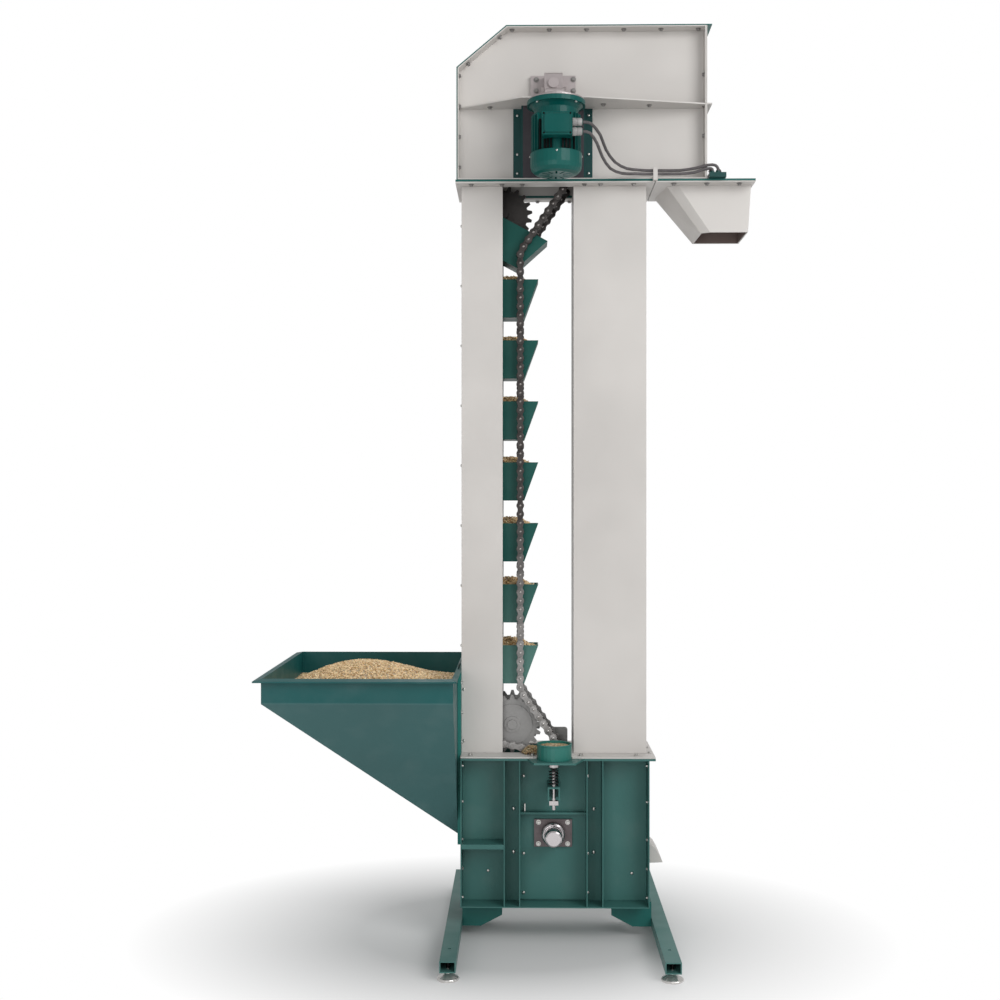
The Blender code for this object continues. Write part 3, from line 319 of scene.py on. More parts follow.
OWN_FINISH = {
    # Painted light: below 0.728 m the hopper is paler, to lift its down-facing slope and side fold out of
    # their shade.
    "hopper_body": paint("hopper_paint", (0.006, 0.088, 0.088), 0.40, gloss=0.24, dust=0.05,
                         pale_below=(0.728, 0.733, 0.11), veil=(0.44, 0.52, 0.52)),
    "base_tube_left": paint("left_tube_paint", **TUBE_LOOK),
    "base_tube_right": paint("right_tube_paint", **TUBE_LOOK),
    "take_up_cup": paint("cup_paint", (0.020, 0.160, 0.132), 0.36, gloss=0.35, dust=0.04),
    # Painted shade: a darker copy of the machine green, for the motor's shadow on the bracket.
    "motor_bracket": paint("bracket_shaded_paint", (0.004, 0.052, 0.050), 0.38, gloss=0.25, dust=0.03),
    # Painted light: a lighter copy of the machine green, for the frame's side face that is lit from the
    # right.
    "hopper_frame": paint("hopper_frame_lit_paint", (0.026, 0.190, 0.165), 0.42, gloss=0.15, dust=0.04),
    "boot_shaft": metal("polished_shaft", (0.56, 0.53, 0.54), 0.18, stretch=COARSE, grime=0.04),
    "lower_guide": metal("dusty_wheel_steel", (0.265, 0.26, 0.255), 0.45, grime=0.12, metallic=0.35),
    "upper_guide": metal("oiled_wheel_steel", (0.055, 0.050, 0.048), 0.42, grime=0.4, metallic=0.7),
    "boot_bearing": metal("cast_bearing", (0.125, 0.105, 0.108), 0.42, grime=0.3, metallic=0.7),
    "gearbox": metal("cast_gearbox", (0.42, 0.375, 0.375), 0.38, grime=0.15, metallic=0.5),
    "fan_cowl": paint("cowl_paint", (0.001, 0.088, 0.076), 0.36, gloss=0.24, dust=0.02),
    "level_sensor": paint("sensor_paint", (0.003, 0.050, 0.046), 0.36, gloss=0.3, dust=0.03),
}


def dress_cad():
    """Give every carried-over node its own finish or that of its slot."""
    slots = {row["node"]: row["material_slot"] for row in frame["record"]["subparts"]}
    for name, item in frame["nodes"].items():
        finish = OWN_FINISH.get(name, FINISH[slots[name]])
        if name.startswith("bucket_"):
            finish = BUCKET_PAINT
        on_boot = name.startswith("boot_") or name == "take_up_panel"
        if on_boot and slots[name] == "green_paint":
            finish = BOOT_PAINT
        item.data.materials.clear()
        item.data.materials.append(finish)


# Pieces


def piece(name, shape, material, smooth=0.0):
    """A joined mesh that rides on the machine."""
    mesh = bpy.data.meshes.new(name)
    shape.normal_update()
    shape.to_mesh(mesh)
    shape.free()
    mesh.materials.append(material)
    item = bpy.data.objects.new(name, mesh)
    bpy.context.collection.objects.link(item)
    if smooth:
        mesh.polygons.foreach_set("use_smooth", [True] * len(mesh.polygons))
        mesh.set_sharp_from_angle(angle=math.radians(smooth))
    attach(item, "root")
    return item


def ring_of(shape, place, radius, height, sides):
    """Add a ring of points about local Z, or a single point where the radius is 0."""
    ring = []
    for i in range(sides if radius > 0 else 1):
        angle = math.tau * i / sides
        point = Vector((radius * math.cos(angle), radius * math.sin(angle), height))
        ring.append(shape.verts.new(place @ point))
    return ring


def band(shape, rings):
    """Add the faces between each ring of points and the next one."""
    for one, two in zip(rings, rings[1:]):
        for i in range(len(one)):
            j = (i + 1) % len(one)
            shape.faces.new((one[i], one[j], two[j], two[i]))


def turned(shape, profile, place, sides=16):
    """Add a turned solid: (radius, height) points along local Z, moved by the matrix place."""
    rings = [ring_of(shape, place, radius, height, sides) for radius, height in profile]
    for one, two in zip(rings, rings[1:]):
        for i in range(sides):
            j = (i + 1) % sides
            corners = (one[i % len(one)], one[j % len(one)], two[j % len(two)], two[i % len(two)])
            corners = list(dict.fromkeys(corners))
            if len(corners) > 2:
                shape.faces.new(corners)
    for ring, turn in ((rings[0], -1), (rings[-1], 1)):
        if len(ring) > 1:
            shape.faces.new(ring[::turn])


def collar(shape, profile, place, sides):
    """Add a ring: a closed (radius, height) outline turned about local Z."""
    rings = [ring_of(shape, place, radius, height, sides) for radius, height in profile]
    band(shape, rings + rings[:1])


def facing(spot, direction):
    """Matrix that puts local Z along direction at spot."""
    return Matrix.Translation(spot) @ Vector(direction).to_track_quat("Z", "Y").to_matrix().to_4x4()


def bolt(shape, spot, direction, size=0.0055):
    """Hexagon head with its washer; size is the head's radius."""
    place = facing(spot, direction)
    spin = Matrix.Rotation(random.uniform(0, 1.0), 4, "Z")
    turned(shape, [(size * 1.45, 0.0), (size * 1.45, size * 0.22)], place)
    head = [(size, size * 0.22), (size, size * 0.95), (size * 0.86, size * 1.12)]
    turned(shape, head, place @ spin, sides=6)


def round_screw(shape, spot, direction, size=0.004):
    """Domed screw head; size is its radius."""
    dome = [(size, 0.0), (size, size * 0.3), (size * 0.8, size * 0.62), (size * 0.4, size * 0.8),
            (0.0, size * 0.84)]
    turned(shape, dome, facing(spot, direction), sides=12)


def spread(low, high, count):
    """Even steps from low to high."""
    return [low + (high - low) * i / (count - 1) for i in range(count)]


def head_bolts():
    """Flange bolts of the head, its joint shelf and the plate under it."""
    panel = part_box("head_front_panel")
    left, right = HEAD[0].x - AXIS_X, panel[1].x - AXIS_X
    low, top = panel[0].z, panel[1].z
    slope_run, slope_rise = 0.146, 0.122
    under_slope = (0.64, 0, -0.77)
    shape = bmesh.new()
    for y in (HEAD_FRONT + 0.021, BACK_BOLTS):
        for x in spread(-0.125, right - 0.02, 6):
            bolt(shape, at(x, y, top - SHEET), DOWN)
        for z in spread(low + 0.04, low + 0.31, 4):
            bolt(shape, at(left + 0.0063, y, z), RIGHTWARD)
            bolt(shape, at(right - SHEET, y, z), LEFTWARD)
        for share in (0.18, 0.82):
            x = left + 0.007 + slope_run * share
            z = top - slope_rise + slope_rise * share - SHEET
            bolt(shape, at(x, y, z), under_slope)
    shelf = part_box("motor_shelf")
    for x, y in ((-0.19, -0.115), (0.142, -0.140), (0.277, -0.128)):
        bolt(shape, at(x, y, shelf[0].z), DOWN)
        bolt(shape, at(x, y, shelf[1].z), UP)
    under_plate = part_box("leg_top_flange")[0].z
    under_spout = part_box("discharge_spout")[1].z - 0.004
    for x in (-0.245, -0.155, -0.095, 0.088, 0.135, 0.232, 0.350, 0.447, 0.542):
        bolt(shape, at(x, HEAD_FRONT + 0.018, under_plate), DOWN)
    for x in spread(-0.245, 0.545, 9):
        bolt(shape, at(x, BACK_BOLTS, min(under_plate, under_spout)), DOWN)
    piece("head_bolts", shape, DARK_ZINC, 30)


def leg_bolts():
    """Fasteners of the two legs: side rows and the bolted foot flange.

    The rivets on the right leg's side are flush, those on the left leg start above the hopper."""
    shape = bmesh.new()
    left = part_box("left_leg")[0].x - AXIS_X
    right = LEG[1].x - AXIS_X
    hopper_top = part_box("hopper_body")[1].z
    radius, row_step = 0.0045, 0.178
    flush = [(radius, -0.001), (0.0042, 0.0006), (0.0, 0.0009)]
    z = LEG[1].z - 0.115
    while z > LEG[0].z + 0.08:
        for y in (FRONT + 0.012, BACK - 0.012):
            if z > hopper_top:
                round_screw(shape, at(left, y, z), LEFTWARD, size=radius)
            turned(shape, flush, facing(at(right, y, z), RIGHTWARD), sides=14)
        z -= row_step
    for z in (0.733, 0.581):
        round_screw(shape, at(-0.2677, FRONT, z), FORWARD, size=radius)
    for x in (-0.247, -0.065, 0.077, 0.238):
        bolt(shape, at(x, BOOT_FRONT + 0.030, FLANGE_TOP), UP)
    for x in spread(-0.24, 0.24, 5):
        bolt(shape, at(x, BACK_BOLTS, FLANGE_TOP), UP)
    for y in (-0.085, 0.0, 0.085):
        bolt(shape, at(right + 0.009, y, FLANGE_TOP), UP, size=radius)
    piece("leg_bolts", shape, ZINC, 30)


def boot_bolts():
    """Fasteners on the boot's side rims, its front webs and its front and back panels."""
    shape = bmesh.new()
    wall = BOOT_RIGHT[1].x - AXIS_X - SHEET
    for z in (0.514, 0.408, 0.297, 0.212, 0.128):
        for side in (-1, 1):
            bolt(shape, at(side * wall, BOOT_FRONT + 0.034, z), (-side, 0, 0), size=0.0042)
    web = PANEL_FACE - SHEET
    for x in (-0.1205, 0.1165):
        for z in (0.381, 0.253):
            round_screw(shape, at(x, web, z), FORWARD, size=0.0056)
    for z in (0.478, 0.249, 0.133):
        round_screw(shape, at(-0.091, PANEL_FACE - 0.004, z), FORWARD, size=0.0048)
        round_screw(shape, at(0.0985, web, z), FORWARD, size=0.0048)
    for x, z in ((-0.196, 0.196), (0.229, 0.190)):
        round_screw(shape, at(x, FRONT, z), FORWARD, size=0.0046)
    for side in (-1, 1):
        for z in spread(0.15, 0.49, 4):
            round_screw(shape, at(side * (wall - 0.012), BACK, z), BACKWARD, size=0.0048)
    for x in spread(-0.2, 0.2, 5):
        for z in (0.125, 0.515):
            round_screw(shape, at(x, BACK, z), BACKWARD, size=0.0048)
    piece("boot_bolts", shape, ZINC, 30)


def bearing_details():
    """Bolts of the boot bearing, the shaft's retaining ring and the clip on the boot's cross rib."""
    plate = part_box("boot_bearing")
    middle = (plate[0] + plate[1]) / 2
    bolts = bmesh.new()
    for dx in (-0.043, 0.043):
        for dz in (-0.0315, 0.0315):
            spot = Vector((middle.x + dx, plate[1].y - 0.008, middle.z + dz))
            bolt(bolts, spot, FORWARD, size=0.0050)
    piece("bearing_bolts", bolts, ZINC, 30)
    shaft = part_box("boot_shaft")
    radius = (shaft[1].x - shaft[0].x) / 2 + 0.0006
    section = ((0.0, 0.0), (0.0062, 0.0), (0.0070, 0.0012), (0.0066, 0.0040), (0.0024, 0.0072),
               (0.0, 0.0072))
    profile = [(radius + out, height) for out, height in section]
    ring = bmesh.new()
    spot = Vector((middle.x, plate[0].y - 0.0002, middle.z))
    collar(ring, profile, facing(spot, FORWARD), sides=40)
    piece("shaft_ring", ring, OWN_FINISH["boot_shaft"], 30)
    clip = bmesh.new()
    box(clip, at(-0.0890, PANEL_FACE - 0.014, 0.3745), at(-0.0855, PANEL_FACE - 0.004, 0.3975))
    piece("fold_clip", clip, ZINC, 30)


def hopper_bolts():
    """Bolts along the hopper's frame above the boot, before and behind the tower."""
    shape = bmesh.new()
    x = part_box("hopper_frame")[0].x - AXIS_X + 0.010
    for z in spread(0.315, 0.755, 6):
        if z > BOOT_LEFT[1].z:
            for y in (-0.108, 0.108):
                bolt(shape, at(x, y, z), RIGHTWARD, size=0.0048)
    piece("hopper_bolts", shape, ZINC, 30)


def box(shape, low, high):
    """Add a plain solid between two corners."""
    middle, size = (low + high) / 2, high - low
    place = Matrix.Translation(middle) @ Matrix.Diagonal((*size, 1.0))
    bmesh.ops.create_cube(shape, size=1.0, matrix=place)


def drive_bolts():
    """Gearbox, bracket, motor and cowl fasteners."""
    shape, dark = bmesh.new(), bmesh.new()
    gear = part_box("gearbox")
    x = (gear[0].x + gear[1].x) / 2 - AXIS_X
    for dx in (-0.0545, 0.0545):
        for z in (gear[1].z - 0.0115, gear[1].z - 0.045):
            bolt(dark, at(x + dx, FRONT - 0.0123, z), FORWARD, size=0.0056)
    piece("gearbox_bolts", dark, DARK_ZINC, 30)
    for x in (-0.1096, 0.1011):
        for z in (2.431, 2.316, 2.2595):
            round_screw(shape, at(x, FRONT - 0.0043, z), FORWARD, size=0.0040)
    motor = motor_place()
    circle = 0.0755
    for i in range(4):
        angle = math.pi / 4 + i * math.pi / 2
        spot = motor + Vector((circle * math.cos(angle), circle * math.sin(angle), -0.0137))
        round_screw(shape, spot, DOWN, size=0.0044)
    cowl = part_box("fan_cowl")
    radius = (cowl[1].x - cowl[0].x) / 2
    for degrees in (-90, 0, 180, 90):
        angle = math.radians(degrees)
        out = Vector((math.cos(angle), math.sin(angle), 0))
        spot = Vector((motor.x, motor.y, cowl[1].z - 0.0065)) + radius * out
        round_screw(shape, spot, out, size=0.0030)
    piece("drive_bolts", shape, ZINC, 30)


def motor_place():
    """Centre of the motor flange's top."""
    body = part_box("motor_body")
    return Vector(((body[0].x + body[1].x) / 2, (body[0].y + body[1].y) / 2, body[1].z))


def motor_details():
    """The terminal box's raised lid and cable glands, with painted shade: black strips on the fins round
    the box where their gaps lie in shade, black corner screws on the lid for their dark holes, and a dark
    sheet on the bracket behind the motor.
    """
    motor = motor_place()
    axis = Matrix.Translation(Vector((motor.x, motor.y, 0)))
    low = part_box("motor_body")[0].z
    radius = 0.0724
    # Painted shade: thin black strips laid on the fins where the gaps between them lie in shade.
    slots = bmesh.new()
    gaps = [(dx, 0.0058, low + 0.0305) for dx in (-0.0342, -0.0256, -0.0160, 0.0175, 0.0273, 0.0372)]
    gaps += [(-0.0478, 0.0060, low + 0.086), (0.0498, 0.0036, low + 0.086)]
    for dx, width, top in gaps:
        slot = bmesh.new()
        box(slot, Vector((-width / 2, -radius, low + 0.0015)), Vector((width / 2, -radius + 0.004, top)))
        turn = axis @ Matrix.Rotation(math.asin(dx / radius), 4, "Z")
        bmesh.ops.transform(slot, matrix=turn, verts=slot.verts)
        merge(slots, slot)
    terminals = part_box("terminal_box")
    front = terminals[0].y
    x0, x1 = terminals[0].x, terminals[1].x - 0.0295
    z0, z1 = terminals[0].z, terminals[1].z
    # The lid's corner screws are black, as painted shade of their holes.
    for x in (x0 + 0.0050, x1 - 0.0050):
        for z in (z0 + 0.0050, z1 - 0.0050):
            round_screw(slots, Vector((x, front, z)), FORWARD, size=0.0028)
    piece("motor_fin_shade", slots, GAP_SHADE, 30)
    lid, edge = bmesh.new(), 0.0045
    rounded_pad(lid, x0 + edge, x1 - edge, z0 + edge, z1 - edge, front, 0.0050, 0.011)
    piece("terminal_lid", lid, LID_PAINT)
    glands = bmesh.new()
    profile = [(0.0102, 0.0), (0.0118, 0.001), (0.0118, 0.0105), (0.0100, 0.0125), (0.0112, 0.0140),
               (0.0112, 0.0240), (0.0090, 0.0275), (0.0062, 0.0282)]
    for z in (2.3395, 2.3135):
        spot = Vector((motor.x + 0.0425, front + 0.027, z))
        turned(glands, profile, facing(spot, RIGHTWARD), sides=20)
    piece("cable_glands", glands, GREY_PLASTIC, 40)
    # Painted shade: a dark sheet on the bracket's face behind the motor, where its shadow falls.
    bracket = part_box("motor_bracket")
    shade_sheet = bmesh.new()
    box(shade_sheet, Vector((bracket[0].x + 0.0285, bracket[0].y - 0.0012, bracket[0].z + 0.001)),
        Vector((bracket[1].x - 0.0275, bracket[0].y - 0.0001, bracket[1].z - 0.001)))
    piece("motor_shade_sheet", shade_sheet, SHADE_PLATE)


def merge(target, shape):
    """Move a bmesh's geometry into another one."""
    mesh = bpy.data.meshes.new("part")
    shape.to_mesh(mesh)
    shape.free()
    target.from_mesh(mesh)
    bpy.data.meshes.remove(mesh)


def rounded_pad(shape, x0, x1, z0, z1, y, depth, radius):
    """Raised panel with round corners that stands out of the plane y towards -Y."""
    corners = ((x1 - radius, z1 - radius, 0), (x0 + radius, z1 - radius, 90),
               (x0 + radius, z0 + radius, 180), (x1 - radius, z0 + radius, 270))
    rings = []
    for out, reach in ((0.0, radius), (depth * 0.5, radius), (depth, radius - 0.0024)):
        ring = []
        for x, z, start in corners:
            for i in range(6):
                angle = math.radians(start + 18 * i)
                point = (x + reach * math.cos(angle), y - out, z + reach * math.sin(angle))
                ring.append(shape.verts.new(point))
        rings.append(ring)
    band(shape, rings[::-1])
    shape.faces.new(rings[-1])
    shape.faces.new(rings[0][::-1])


def shrink(points, amount):
    """Corners of a convex outline after each of its sides has moved inwards."""
    middle = sum((Vector(p) for p in points), Vector((0.0, 0.0))) / len(points)
    lines = []
    for one, two in zip(points, points[1:] + points[:1]):
        one, way = Vector(one), (Vector(two) - Vector(one)).normalized()
        normal = Vector((-way.y, way.x))
        if normal.dot(middle - one) < 0:
            normal = -normal
        lines.append((one + normal * amount, way))
    corners = []
    for (one, way), (two, turn) in zip(lines[-1:] + lines[:-1], lines):
        cross = way.x * turn.y - way.y * turn.x
        share = ((two.x - one.x) * turn.y - (two.y - one.y) * turn.x) / cross
        corners.append(one + way * share)
    return corners


def spout_inner_shade():
    """Painted shade and a painted reflection of the grain inside the outlet: a thin dark brownish sheet
    just within its walls.
    """
    low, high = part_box("discharge_spout")
    depth = BACK - 0.002
    left = LEG[1].x - AXIS_X + 0.041
    right = high.x - AXIS_X - 0.006
    mouth = right - 0.009
    top = [(left, depth), (left + 0.022, -0.070), (left + 0.053, -depth), (right, -depth), (right, depth)]
    bottom = [(left + 0.117, depth), (left + 0.121, -0.072), (left + 0.147, -depth),
              (mouth, -depth), (mouth, depth)]
    start, end = 0.006, 0.60  # share of the height where the sheet starts and ends
    near, far = 0.0046, 0.0052  # distance of its two faces from the walls
    shape = bmesh.new()
    rings = []
    for share, inwards in ((start, near), (end, near), (end, far), (start, far)):
        outline = [(a[0] + (b[0] - a[0]) * share, a[1] + (b[1] - a[1]) * share)
                   for a, b in zip(bottom, top)]
        z = low.z + (high.z - 0.006 - low.z) * share
        rings.append([shape.verts.new(at(p.x, p.y, z)) for p in shrink(outline, inwards)])
    band(shape, rings + rings[:1])
    bmesh.ops.recalc_face_normals(shape, faces=shape.faces)
    piece("spout_inner_shade", shape, SPOUT_SHADE)


def cable_boots():
    """Domed boots where the two cables enter the level sensor."""
    low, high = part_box("level_sensor")
    dome = [(0.0085, 0.0), (0.0085, 0.0022), (0.0070, 0.0054), (0.0046, 0.0076), (0.0040, 0.0090),
            (0.0, 0.0090)]
    boots = bmesh.new()
    for x in (0.4585, 0.4795):
        spot = Vector((x + AXIS_X, (low.y + high.y) / 2, high.z - 0.0004))
        turned(boots, dome, Matrix.Translation(spot), sides=20)
    piece("cable_boots", boots, FINISH["cable_jacket"], 40)


def guard_plate():
    """Small upright plate with round upper corners at the back of the window's foot."""
    left, right, top, radius = -0.0104, 0.0446, FLANGE_TOP + 0.049, 0.009
    outline = [(left, FLANGE_TOP), (right, FLANGE_TOP)]
    for x, start in ((right - radius, 0), (left + radius, 90)):
        for i in range(7):
            angle = math.radians(start + 15 * i)
            outline.append((x + radius * math.cos(angle), top - radius + radius * math.sin(angle)))
    shape = bmesh.new()
    sides = [[shape.verts.new(at(x, y, z)) for x, z in outline] for y in (0.0825, 0.0855)]
    band(shape, sides)
    shape.faces.new(sides[0][::-1])
    shape.faces.new(sides[1])
    piece("window_guard", shape, GUARD_PAINT)


# Roller chains


def run_point(distance):
    """Point on the open run, in from the boot, up the window and into the head."""
    if distance < SLANT:
        share = distance / SLANT
        return Vector((BEND_X + (RUN_X - BEND_X) * share, RUN_BOTTOM - RISE + RISE * share))
    if distance < SLANT + UPRIGHT:
        return Vector((RUN_X, RUN_BOTTOM + distance - SLANT))
    share = (distance - SLANT - UPRIGHT) / SLANT
    return Vector((RUN_X + (BEND_X - RUN_X) * share, RUN_TOP + RISE * share))


def link_plate(shape, one, two, y, height):
    """Waisted link plate with soft edges round the pins one and two."""
    axis = (two - one).normalized()
    across = Vector((-axis.y, axis.x))
    radius = height / 2
    rim = []
    for centre, far, side, start in ((two, one, across, -90), (one, two, -across, 90)):
        for i in range(9):
            angle = math.radians(start + 22.5 * i)
            rim.append(centre + radius * (axis * math.cos(angle) + across * math.sin(angle)))
        for share, waist in ((0.32, 0.74), (0.5, 0.66), (0.68, 0.74)):
            rim.append(centre + (far - centre) * share + side * radius * waist)
    middle = (one + two) / 2
    half = PLATE / 2
    rings = []
    for shift, size in ((-half, 0.95), (-half + PLATE_EDGE, 1.0), (half - PLATE_EDGE, 1.0), (half, 0.95)):
        outline = [middle + (point - middle) * size for point in rim]
        rings.append([shape.verts.new(at(point.x, y + shift, point.y)) for point in outline])
    band(shape, rings)
    shape.faces.new(rings[0][::-1])
    shape.faces.new(rings[-1])


def strand(shape, pins, y, height):
    """Pairs of link plates along a row of pins, outer and inner ones in turn."""
    for i, (one, two) in enumerate(zip(pins, pins[1:])):
        reach = OUTER if i % 2 == 0 else INNER
        for way in (-1, 1):
            link_plate(shape, one, two, y + way * reach, height)


def chains():
    """Plates, rollers and riveted pins of both strands."""
    count = 2 * round(RUN_LENGTH / PITCH / 2)
    step = RUN_LENGTH / count
    pins = [run_point(i * step) for i in range(count + 1)]
    roller = [(0.0072, -0.0043), (0.0078, -0.0036), (0.0078, 0.0036), (0.0072, 0.0043)]
    rivet = [(0.0040, 0.0100), (0.0040, 0.0114), (0.0030, 0.0124), (0.0, 0.0128)]
    for side, y in (("front", -CHAIN_Y), ("back", CHAIN_Y)):
        shape, rivets = bmesh.new(), bmesh.new()
        strand(shape, pins, y, height=0.0232)
        for pin in pins:
            middle = at(pin.x, y, pin.y)
            turned(shape, roller, facing(middle, BACKWARD), sides=14)
            for way in (-1, 1):
                turned(rivets, rivet, facing(middle, (0, way, 0)), sides=12)
        piece("chain_rivets_" + side, rivets, RIVET, 40)
        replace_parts(piece("roller_chain_" + side, shape, FINISH["chain_steel"], 40),
                    "chain_" + side)


def chain_tail():
    """Short end of chain that slopes down to the cup beside the lower guide."""
    y, first_x, first_z = -0.070, -0.176, FLANGE_TOP + 0.0285
    step, fall = 0.0255, 0.0048
    pins = [Vector((first_x + step * i, first_z - fall * i)) for i in range(5)]
    pin_shape = [(0.0040, -0.0122), (0.0040, 0.0122)]
    shape = bmesh.new()
    strand(shape, pins, y, height=0.0226)
    for pin in pins:
        turned(shape, pin_shape, facing(at(pin.x, y, pin.y), BACKWARD), sides=12)
    piece("chain_tail", shape, FINISH["chain_steel"], 40)


# Grain


KERNEL, KERNEL_SIDES = 0.0062, 5  # length of one kernel and faces round it


def kernel(shape, spot, scale=1.0):
    """One low, pointed kernel at a random turn."""
    length, width = KERNEL * 0.5 * scale, KERNEL * 0.24 * scale
    spin, tilt = random.uniform(0, math.tau), random.gauss(0, 0.45)
    turn = Matrix.Rotation(spin, 3, "Z") @ Matrix.Rotation(tilt, 3, "Y")
    ends = [shape.verts.new(spot + turn @ Vector((side * length, 0, 0))) for side in (-1, 1)]
    rings = []
    for share in (-0.45, 0.4):
        ring = []
        for i in range(KERNEL_SIDES):
            angle = math.tau * i / KERNEL_SIDES
            point = Vector((share * length, width * math.cos(angle), width * 0.8 * math.sin(angle)))
            ring.append(shape.verts.new(spot + turn @ point))
        rings.append(ring)
    one, two = rings
    for i in range(KERNEL_SIDES):
        j = (i + 1) % KERNEL_SIDES
        shape.faces.new((ends[0], one[j], one[i]))
        shape.faces.new((one[i], one[j], two[j], two[i]))
        shape.faces.new((two[i], two[j], ends[1]))


def bed(shape, x0, x1, y0, y1, height, steps):
    """An open, rough skin of settled grain at height(x, y)."""
    nx, ny = steps
    grid = []
    for i in range(nx + 1):
        row = []
        for j in range(ny + 1):
            x = x0 + (x1 - x0) * i / nx
            y = y0 + (y1 - y0) * j / ny
            rough = 0.0016 * noise.noise(Vector((x * 180, y * 180, 3.0)))
            row.append(shape.verts.new(at(x, y, height(x, y) + rough)))
        grid.append(row)
    for i in range(nx):
        for j in range(ny):
            shape.faces.new((grid[i][j], grid[i + 1][j], grid[i + 1][j + 1], grid[i][j + 1]))


def scatter(shape, x0, x1, y0, y1, height, count, inside=None, scale=1.0):
    """Kernels at random places on height(x, y), only where inside(x, y) allows them."""
    for _ in range(count):
        x, y = random.uniform(x0, x1), random.uniform(y0, y1)
        if inside is None or inside(x, y):
            spot = at(x, y, height(x, y) + random.uniform(-0.0004, 0.0016))
            kernel(shape, spot, scale * random.uniform(0.85, 1.1))


def hopper_grain():
    """The heap in the hopper, highest in the middle and lower along the walls."""
    x0, x1 = -0.8165, -0.2906
    y0, y1 = -0.3610, 0.3210
    mid_x, mid_y = -0.578, -0.03
    rest, peak = 0.728, 0.807
    gap = 0.003

    def height(x, y):
        across = min(1.0, abs(x - mid_x) / (mid_x - x0 if x < mid_x else x1 - mid_x))
        along = min(1.0, abs(y - mid_y) / (mid_y - y0 if y < mid_y else y1 - mid_y))
        fall_x = max(0.0, math.cos(across * math.pi / 2)) ** 1.1
        fall_y = max(0.0, math.cos(along * math.pi / 2)) ** 0.85
        near = fall_x * fall_y
        roll = 0.004 * noise.noise(Vector((x * 9, y * 9, 0.5)))
        return rest + (peak - rest) * near + roll

    shape = bmesh.new()
    bed(shape, x0, x1, y0, y1, height, steps=(60, 70))
    # Painted shade: the skin under the kernels takes the darker grain.
    piece("hopper_grain_bed", shape, SHADED_GRAIN, 60)
    shape = bmesh.new()
    scatter(shape, x0 + gap, x1 - gap, y0 + gap, y1 - gap, height, count=7400, scale=1.85)
    piece("hopper_grain", shape, GRAIN, 60)


def bucket_grain():
    """What each upright bucket carries, heaped over its lip, more so in the lower ones."""
    half = 0.0430  # half the width of a heap
    skin, shape = bmesh.new(), bmesh.new()
    for i in range(1, 8):
        low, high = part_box("bucket_%d" % i)
        x0, x1 = low.x - AXIS_X + 0.0035, high.x - AXIS_X - 0.0055
        top = high.z
        rise = 0.018 + 0.008 * (2.0 - top) / 1.3

        def height(x, y, x0=x0, x1=x1, top=top, rise=rise):
            share = min(1.0, max(0.0, (x - x0) / (x1 - x0)))
            ridge = math.sin(math.pi * min(1.0, share * 1.15)) ** 0.7 if share < 0.86 else 0.0
            crown = max(0.0, 1 - (y / half) ** 2) ** 0.5
            lumps = 0.0025 * noise.noise(Vector((x * 110, y * 110, top)))
            return top - 0.005 + rise * ridge * crown + lumps

        bed(skin, x0, x1, -half, half, lambda x, y: height(x, y) - 0.0015, steps=(16, 10))
        scatter(shape, x0 + 0.003, x1 - 0.006, -0.040, 0.040, height, count=400, scale=1.4)
    # Painted shade: the skins under the kernels take the darker grain.
    piece("bucket_grain_bed", skin, SHADED_GRAIN, 60)
    piece("bucket_grain", shape, GRAIN, 60)


def cup_grain():
    """Grain in the round cup and the small heap spilled beside it, as one piece."""
    shape = bmesh.new()
    low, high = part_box("take_up_cup")
    x, y = (low.x + high.x) / 2 - AXIS_X, (low.y + high.y) / 2 - AXIS_Y
    radius, rounds, sides = 0.0472, 7, 28
    reach = 0.044

    def height(u, v):
        return high.z - 0.009 + 0.003 * noise.noise(Vector((u * 60, v * 60, 2.0)))

    def inside(u, v):
        return math.hypot(u - x, v - y) < 0.0435

    rings = []
    for k in range(rounds + 1):
        away = radius * k / rounds
        z = height(x + away, y)
        angles = [math.tau * i / sides for i in range(sides if k else 1)]
        points = [at(x + away * math.cos(angle), y + away * math.sin(angle), z) for angle in angles]
        rings.append([shape.verts.new(point) for point in points])
    for one, two in zip(rings, rings[1:]):
        for i in range(sides):
            j = (i + 1) % sides
            corners = (one[i % len(one)], two[i], two[j], one[j % len(one)])
            shape.faces.new(list(dict.fromkeys(corners)))
    scatter(shape, x - reach, x + reach, y - reach, y + reach, height, count=560, inside=inside)
    spilled_grain(shape)
    # Painted shade: the cup's grain and the spilled heap all take the darker grain.
    piece("cup_grain", shape, SHADED_GRAIN, 60)


def spilled_grain(shape):
    """Add a small heap of grain on the foot flange."""
    x, y, reach = -0.066, -0.094, 0.031
    core = 0.7 * reach

    def away(u, v):
        return math.hypot(u - x, v - y)

    def heap(u, v):
        lumps = 0.002 * noise.noise(Vector((u * 90, v * 90, 1.0)))
        return FLANGE_TOP + 0.0014 + 0.021 * max(0.0, 1 - (away(u, v) / reach) ** 2) + lumps

    bed(shape, x - core, x + core, y - core, y + core,
        lambda u, v: max(FLANGE_TOP - 0.001, heap(u, v) - 0.004), steps=(10, 10))
    scatter(shape, x - reach, x + reach, y - reach, y + reach, heap, count=640,
            inside=lambda u, v: away(u, v) < reach)


# Studio


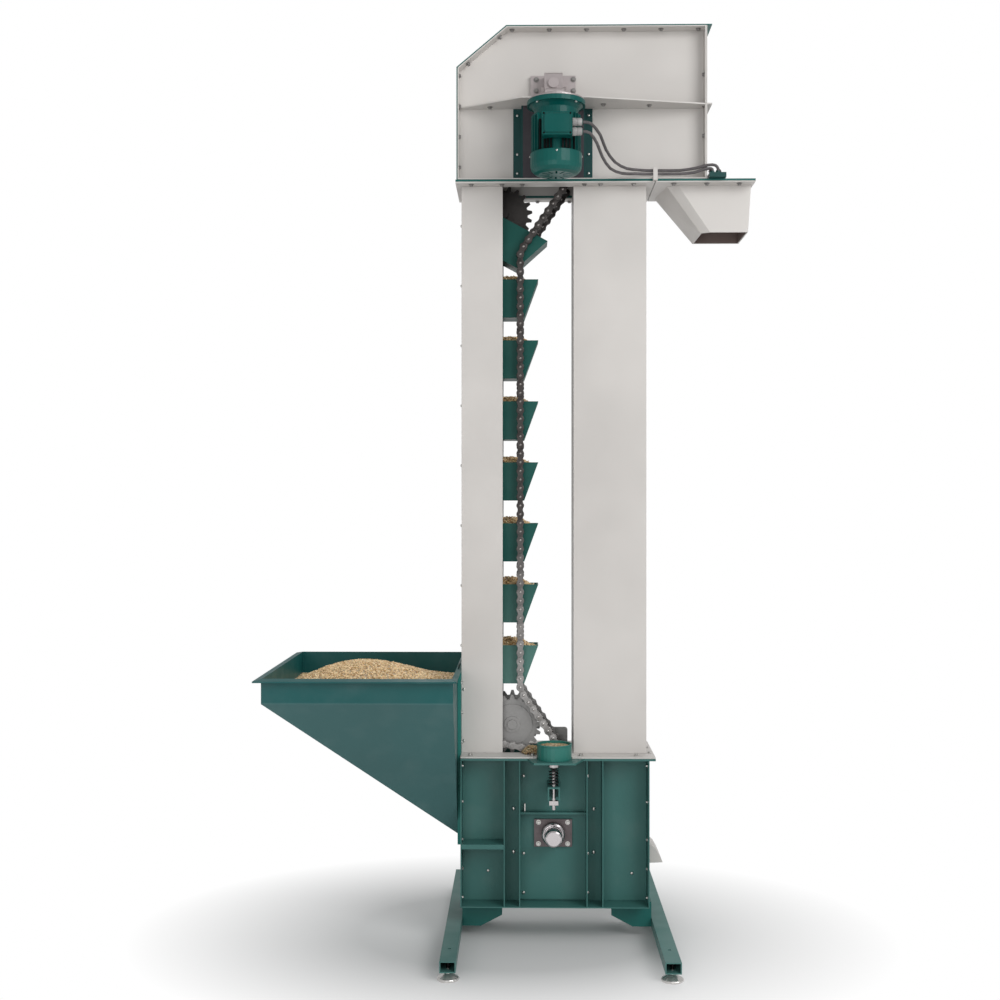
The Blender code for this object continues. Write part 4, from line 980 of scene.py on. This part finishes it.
def studio():
    """White sweep, soft lamps and the photograph's camera."""
    floor_mesh = bmesh.new()
    bmesh.ops.create_grid(floor_mesh, x_segments=1, y_segments=1, size=40.0)
    mesh = bpy.data.meshes.new("floor")
    floor_mesh.to_mesh(mesh)
    floor_mesh.free()
    floor = bpy.data.objects.new("floor", mesh)
    bpy.context.collection.objects.link(floor)
    mesh.materials.append(floor_finish())
    world()
    for name, spot, aim, size, watts in (
            ("key", (2.8, -3.6, 3.4), (0, 0, 1.2), 2.6, 108),
            ("fill", (-1.0, -4.9, 1.3), (0, 0, 1.1), 2.4, 44),
            ("back_light", (0.6, 3.2, 4.0), (0, 0, 1.4), 2.6, 52)):
        lamp = bpy.data.lights.new(name, "AREA")
        lamp.size = size
        lamp.energy = watts
        item = bpy.data.objects.new(name, lamp)
        item.location = spot
        item.rotation_euler = (Vector(aim) - Vector(spot)).to_track_quat("-Z", "Y").to_euler()
        bpy.context.collection.objects.link(item)
    camera()


def floor_finish():
    """Pale floor that holds the shadow and fades to white away from the machine."""
    pale, white = 0.46, 1.14  # distances at which the fade starts and ends
    n = Nodes("studio_floor")
    n.shader.inputs["Base Color"].default_value = (0.70, 0.70, 0.70, 1.0)
    n.shader.inputs["Roughness"].default_value = 0.85
    glow = n.add("ShaderNodeEmission", Strength=1.0)
    glow.inputs["Color"].default_value = (1.0, 1.0, 1.0, 1.0)
    deeper = n.add("ShaderNodeMapping")
    deeper.inputs["Scale"].default_value = (1.0, 1.3, 1.0)
    n.link(n.coords, deeper.inputs["Vector"])
    length = n.add("ShaderNodeVectorMath", operation="LENGTH")
    n.link(deeper.outputs["Vector"], length.inputs[0])
    far = n.ramp(length.outputs["Value"], pale, white)
    rays = n.add("ShaderNodeLightPath")
    shown = n.add("ShaderNodeMath", operation="MAXIMUM")
    n.link(rays.outputs["Is Camera Ray"], shown.inputs[0])
    n.link(rays.outputs["Is Glossy Ray"], shown.inputs[1])
    share = n.add("ShaderNodeMath", operation="MULTIPLY")
    n.link(far, share.inputs[0])
    n.link(shown.outputs[0], share.inputs[1])
    mix = n.add("ShaderNodeMixShader")
    n.link(share.outputs[0], mix.inputs[0])
    n.link(n.shader.outputs[0], mix.inputs[1])
    n.link(glow.outputs[0], mix.inputs[2])
    n.link(mix.outputs[0], n.tree.nodes["Material Output"].inputs["Surface"])
    return n.material


def world():
    """White where the camera and glass look, soft grey light elsewhere."""
    sky = bpy.data.worlds.new("studio")
    bpy.context.scene.world = sky
    sky.use_nodes = True
    tree = sky.node_tree
    back = tree.nodes["Background"]
    back.inputs["Color"].default_value = (1.0, 1.0, 1.0, 1.0)
    rays = tree.nodes.new("ShaderNodeLightPath")
    seen = tree.nodes.new("ShaderNodeMath")
    seen.operation = "MAXIMUM"
    tree.links.new(rays.outputs["Is Camera Ray"], seen.inputs[0])
    tree.links.new(rays.outputs["Is Transmission Ray"], seen.inputs[1])
    level = tree.nodes.new("ShaderNodeMapRange")
    level.inputs["To Min"].default_value = 0.50
    level.inputs["To Max"].default_value = 1.0
    tree.links.new(seen.outputs[0], level.inputs["Value"])
    tree.links.new(level.outputs["Result"], back.inputs["Strength"])


def camera():
    """The photograph's own camera, worked out from the tower's edges."""
    data = bpy.data.cameras.new("photo_camera")
    data.sensor_width = 36.0
    data.lens = 48.24
    data.shift_y = 0.005
    item = bpy.data.objects.new("photo_camera", data)
    item.location = at(-0.093, -4.06, 1.279)
    item.rotation_euler = (math.radians(90.0), 0.0, math.radians(0.98))
    bpy.context.collection.objects.link(item)
    bpy.context.scene.camera = item


bpy.context.scene.view_settings.view_transform = "Standard"
dress_cad()
head_bolts()
leg_bolts()
boot_bolts()
bearing_details()
hopper_bolts()
drive_bolts()
motor_details()
guard_plate()
spout_inner_shade()
cable_boots()
chains()
chain_tail()
hopper_grain()
bucket_grain()
cup_grain()
studio()
